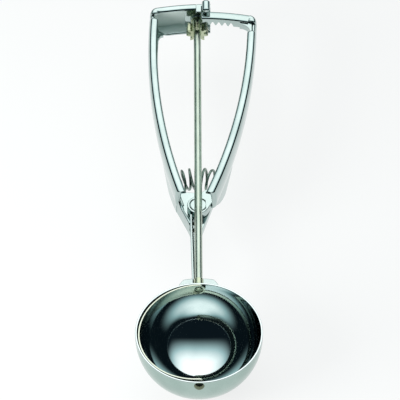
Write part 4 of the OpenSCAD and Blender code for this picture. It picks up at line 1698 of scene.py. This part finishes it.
@dataclass(frozen=True)
class ScraperDrive:
    """Shaft, pinion and blade, which turn together."""

    pinion_low: float = 193.4
    pinion_high: float = 199.0
    hub_r: float = 2.6
    hub_l: float = 3.3
    teeth: int = 9
    module_mm: float = 1.0
    pressure: float = 25.0
    backlash: float = 0.2
    root_r: float = 3.45
    pin_r: float = 0.65
    blade_r: float = 28.25
    blade_t: float = 0.8
    blade_w: float = 6.4
    park: float = 4.0
    head_d: float = 4.2
    head_h: float = 0.5
    shank_r: float = 1.1
    shank_l: float = 4.5

    def shaft(self) -> bpy.types.Object:
        """Makes the long shaft."""
        profile = turned(DATUM.shaft_r, DATUM.shaft_low, DATUM.shaft_high, 0.3)
        return piece("long_shaft", Shell().lathe(profile, along_shaft(), steps=96), NICKEL_ROD, Body.SCRAPER,
                     "scraper_shaft")

    def pinion_outline(self) -> list[Flat]:
        """Outline of the pinion, with involute flanks.

        Returns:
            X and Z of each point.
        """
        pitch_r = self.module_mm * self.teeth / 2
        base_r = pitch_r * math.cos(math.radians(self.pressure))
        tip_r = pitch_r + self.module_mm

        def involute(turn: float) -> float:
            """Involute function, in degrees."""
            return math.degrees(math.tan(math.radians(turn))) - turn

        def half(radius: float) -> float:
            """Half of a tooth at a radius, in degrees."""
            at_pitch = math.degrees((math.pi * self.module_mm / 2 - self.backlash) / (2 * pitch_r))
            turn = math.degrees(math.acos(min(1.0, base_r / radius)))
            return at_pitch + involute(self.pressure) - involute(turn)

        radii = spread(base_r, tip_r, 6)
        outline = []
        for k in range(self.teeth):
            middle = 360 * (k + 0.5) / self.teeth + 90
            outline.append(on_circle((0, 0), self.root_r, middle - half(base_r)))
            outline += [on_circle((0, 0), r, middle - half(r)) for r in radii]
            outline += [on_circle((0, 0), r, middle + half(r)) for r in reversed(radii)]
            outline.append(on_circle((0, 0), self.root_r, middle + half(base_r)))
        return outline

    def pinion(self) -> bpy.types.Object:
        """Makes the pinion and its hub."""
        shell = Shell().prism(self.pinion_outline(), self.pinion_low, self.pinion_high, edge=0.12,
                              lift=lambda x, z, y: (x, y, z))
        profile = tube(self.hub_r, DATUM.shaft_r + 0.02, self.pinion_high - 0.1, self.pinion_high + self.hub_l, 0.2)
        shell.lathe(profile, along_shaft(), hollow=True)
        return piece("nine_tooth_pinion", shell, NICKEL, Body.SCRAPER, "pinion")

    def cross_pin(self) -> bpy.types.Object:
        """Makes the pin through the pinion's hub."""
        profile = turned(self.pin_r, -self.hub_r, self.hub_r, 0.15)
        spot = upright(0.0, self.pinion_high + self.hub_l / 2)
        return piece("hub_cross_pin", Shell().lathe(profile, spot, steps=32), SPRING_WIRE, Body.SCRAPER, "pinion_pin")

    def blade(self) -> bpy.types.Object:
        """Makes the curved blade with its rounded ends."""
        half = self.blade_w / 2
        reach = math.degrees(math.asin(half / self.blade_r))
        ends = [reach * math.cos(math.pi / 2 * i / 12) for i in range(12)]
        turns = [*(-e for e in ends), *spread(0, 180, 120), *(180 + e for e in reversed(ends))]
        park = math.radians(self.park)
        rings = []
        for turn in turns:
            over = max(0.0, -turn, turn - 180)
            past = self.blade_r * math.sin(math.radians(over))
            wide = math.sqrt(max(half * half - past * past, 0.0))
            ring = []
            for z, r in self.blade_section(max(wide, 0.02)):
                rho = math.sqrt(r * r - z * z)
                x, y = -rho * math.sin(math.radians(turn)), rho * math.cos(math.radians(turn))
                ring.append((x * math.cos(park) - z * math.sin(park), y,
                             x * math.sin(park) + z * math.cos(park)))
            rings.append(ring)
        return piece("scraper_band", Shell().loft(rings), TEMPERED_STRIP, Body.SCRAPER, "scraper_blade")

    def blade_section(self, half: float) -> list[Flat]:
        """Section of the blade.

        Args:
            half: half of its width there.

        Returns:
            Place across the blade and distance from the bowl's middle of each point.
        """
        edge = min(0.16, half * 0.6)
        inner, outer = self.blade_r - self.blade_t, self.blade_r
        flat = half - edge
        across = [flat * share for share in spread(-1.0, 1.0, 6)[1:-1]]
        return [*arc((-flat, inner + edge), edge, 270, 180, 3), *arc((-flat, outer - edge), edge, 180, 90, 3),
                *[(z, outer) for z in across],
                *arc((flat, outer - edge), edge, 90, 0, 3), *arc((flat, inner + edge), edge, 0, -90, 3),
                *[(z, inner) for z in reversed(across)]]

    def rivet(self) -> bpy.types.Object:
        """Makes the rivet that holds the blade on the shaft's end."""
        inner = math.sqrt((self.blade_r - self.blade_t) ** 2 - (self.head_d / 2) ** 2) - 0.02
        deep = self.blade_r + self.shank_l
        profile = [*hanging_dome(self.head_d / 2, self.head_h, inner), (self.shank_r, inner),
                   (self.shank_r, deep), (0.0, deep)]
        return piece("blade_root_rivet", Shell().lathe(profile, along_shaft()), NICKEL, Body.SCRAPER,
                     "root_rivet")

    def build(self) -> None:
        """Builds everything that turns with the shaft."""
        self.shaft()
        self.pinion()
        self.cross_pin()
        self.blade()
        self.rivet()


# ---------------------------------------------------------------- studio


@dataclass(frozen=True)
class Studio:
    """Pale floor, soft sky of a tent studio, and the camera.

    Attributes:
        floor_r: radius of the floor, in metres.
        paper: colour of the floor, sRGB hex.
        paper_glow: share of plain white in the floor, as the camera, metal and glass see it.
        panel_x: where the sky's panel starts, is full, ends being full and stops, as X over height.
        panel_y: the same as Y over height.
        panel_strength: strength of the panel.
        room: colour of the sky beside the panel.
        veil: colour of the panel's soft edge.
        veil_at: share of the panel's light at which that colour stands.
        horizon: least height with which the panel's places are reckoned.
        lamp_at: place of the lamp, in metres.
        lamp_w: width of the lamp, in metres.
        lamp_watts: power of the lamp.
        eye: place of the camera, in millimetres.
        elevation: angle at which the camera looks down, in degrees.
        roll: turn of the camera about its line of sight, in degrees.
        focal_px: focal length, in pixels.
        picture_px: width of the picture, in pixels.
        sensor_mm: width of the sensor.
    """

    floor_r: float = 7.0
    paper: str = "E8EDEB"
    paper_glow: float = 0.8
    panel_x: tuple[float, float, float, float] = (-1.8, 0.0, 0.25, 1.7)
    panel_y: tuple[float, float, float, float] = (-0.7, 0.38, 1.0, 2.8)
    panel_strength: float = 1.8
    room: str = "0A1217"
    veil: str = "96ADB0"
    veil_at: float = 0.4
    horizon: float = 0.02
    lamp_at: Point = (-0.42, -0.25, 0.24)
    lamp_w: float = 0.3
    lamp_watts: float = 3.5
    eye: Point = (0.85, -970.2, 1138.8)
    elevation: float = 48.985
    roll: float = 0.35
    focal_px: float = 3065.0
    picture_px: float = 400.0
    sensor_mm: float = 36.0

    def floor(self) -> None:
        """Lays the pale floor, which shows white but keeps the scoop's shadow."""
        corners, clearance = 96, 0.0002
        rim = [(*on_circle((0.0, 0.0), self.floor_r, 360 * i / corners), 0.0) for i in range(corners)]
        mesh = bpy.data.meshes.new("floor")
        mesh.from_pydata(rim, [], [tuple(range(corners))])
        thing = added("floor", mesh)
        thing.location.z = cad_bounds[0].z - clearance
        mesh.materials.append(self.floor_paint())

    def floor_paint(self) -> bpy.types.Material:
        """Makes the matt white paper of the floor.

        Returns:
            The material.
        """
        material = blank_material("matt_white_paper")
        tree = material.node_tree
        rays = add_node(tree, "ShaderNodeLightPath")
        seen = rays.outputs["Is Camera Ray"]
        for other in ("Is Glossy Ray", "Is Transmission Ray"):
            seen = reckoned(tree, "MAXIMUM", seen, rays.outputs[other])
        share = reckoned(tree, "MULTIPLY", seen, self.paper_glow)
        paper = add_node(tree, "ShaderNodeBsdfDiffuse", {"Color": linear(self.paper)})
        glow = add_node(tree, "ShaderNodeEmission", {"Color": linear("FFFFFF"), "Strength": 1.0})
        both = add_node(tree, "ShaderNodeMixShader",
                        {0: share, 1: paper.outputs["BSDF"], 2: glow.outputs["Emission"]})
        add_node(tree, "ShaderNodeOutputMaterial", {"Surface": both.outputs["Shader"]})
        return material

    def sky(self) -> None:
        """Hangs one wide soft panel over the scoop, a little behind it, in a dark studio."""
        world = bpy.data.worlds.new("studio")
        bpy.context.scene.world = world
        world.use_nodes = True
        tree = world.node_tree
        tree.nodes.clear()
        way = add_node(tree, "ShaderNodeSeparateXYZ",
                       {"Vector": add_node(tree, "ShaderNodeTexCoord").outputs["Generated"]})
        height = reckoned(tree, "MAXIMUM", way.outputs["Z"], self.horizon)
        panel: Socket | None = None
        for axis, (dark_low, lit_low, lit_high, dark_high) in (("X", self.panel_x), ("Y", self.panel_y)):
            place = reckoned(tree, "DIVIDE", way.outputs[axis], height)
            for dark, lit in ((dark_low, lit_low), (dark_high, lit_high)):
                edge = add_node(tree, "ShaderNodeMapRange", {"Value": place, "From Min": dark, "From Max": lit},
                                interpolation_type="SMOOTHSTEP").outputs["Result"]
                panel = edge if panel is None else reckoned(tree, "MULTIPLY", panel, edge)
        ramp = add_node(tree, "ShaderNodeValToRGB", {"Fac": panel})
        ramp.color_ramp.elements[0].color = linear(self.room)
        ramp.color_ramp.elements[1].color = linear("FFFFFF")
        ramp.color_ramp.elements.new(self.veil_at).color = linear(self.veil)
        light = add_node(tree, "ShaderNodeBackground",
                         {"Color": ramp.outputs["Color"], "Strength": self.panel_strength})
        add_node(tree, "ShaderNodeOutputWorld", {"Surface": light.outputs["Background"]})

    def lamps(self) -> None:
        """Stands a soft lamp in front on the left, which the metals don't mirror."""
        data = bpy.data.lights.new("front_softbox", "AREA")
        data.shape, data.size, data.energy = "SQUARE", self.lamp_w, self.lamp_watts
        lamp = added("front_softbox", data)
        lamp.location = self.lamp_at
        lamp.visible_glossy = False
        lamp.rotation_mode = "QUATERNION"
        lamp.rotation_quaternion = (-lamp.location).to_track_quat("-Z", "Y")

    def camera(self) -> None:
        """Sets up the camera."""
        data = bpy.data.cameras.new("camera")
        data.sensor_width = self.sensor_mm
        data.lens = self.focal_px / self.picture_px * self.sensor_mm
        data.clip_start, data.clip_end = 0.05, 50.0
        view = added("camera", data)
        view.location = Vector(self.eye) * MM
        slope = math.radians(self.elevation)
        sight = Vector((0.0, math.cos(slope), -math.sin(slope)))
        aim = sight.to_track_quat("-Z", "Y")
        aim.rotate(Quaternion(sight, math.radians(self.roll)))
        view.rotation_mode = "QUATERNION"
        view.rotation_quaternion = aim
        bpy.context.scene.camera = view

    def build(self) -> None:
        """Builds the floor, the lights and the camera."""
        self.floor()
        self.sky()
        self.lamps()
        self.camera()
        bpy.context.scene.view_settings.view_transform = "Standard"


def main() -> None:
    """Builds the scoop part by part."""
    logging.basicConfig(level=logging.INFO, format="%(message)s")
    for group in (BowlGroup(), Stem(), FixedHandle(), LeverHandle(), ReturnSpring(), PivotJoint(),
                  ScraperDrive(), Studio()):
        LOG.info("-- %s", type(group).__name__)
        group.build()


if __name__ == "__main__":
    main()
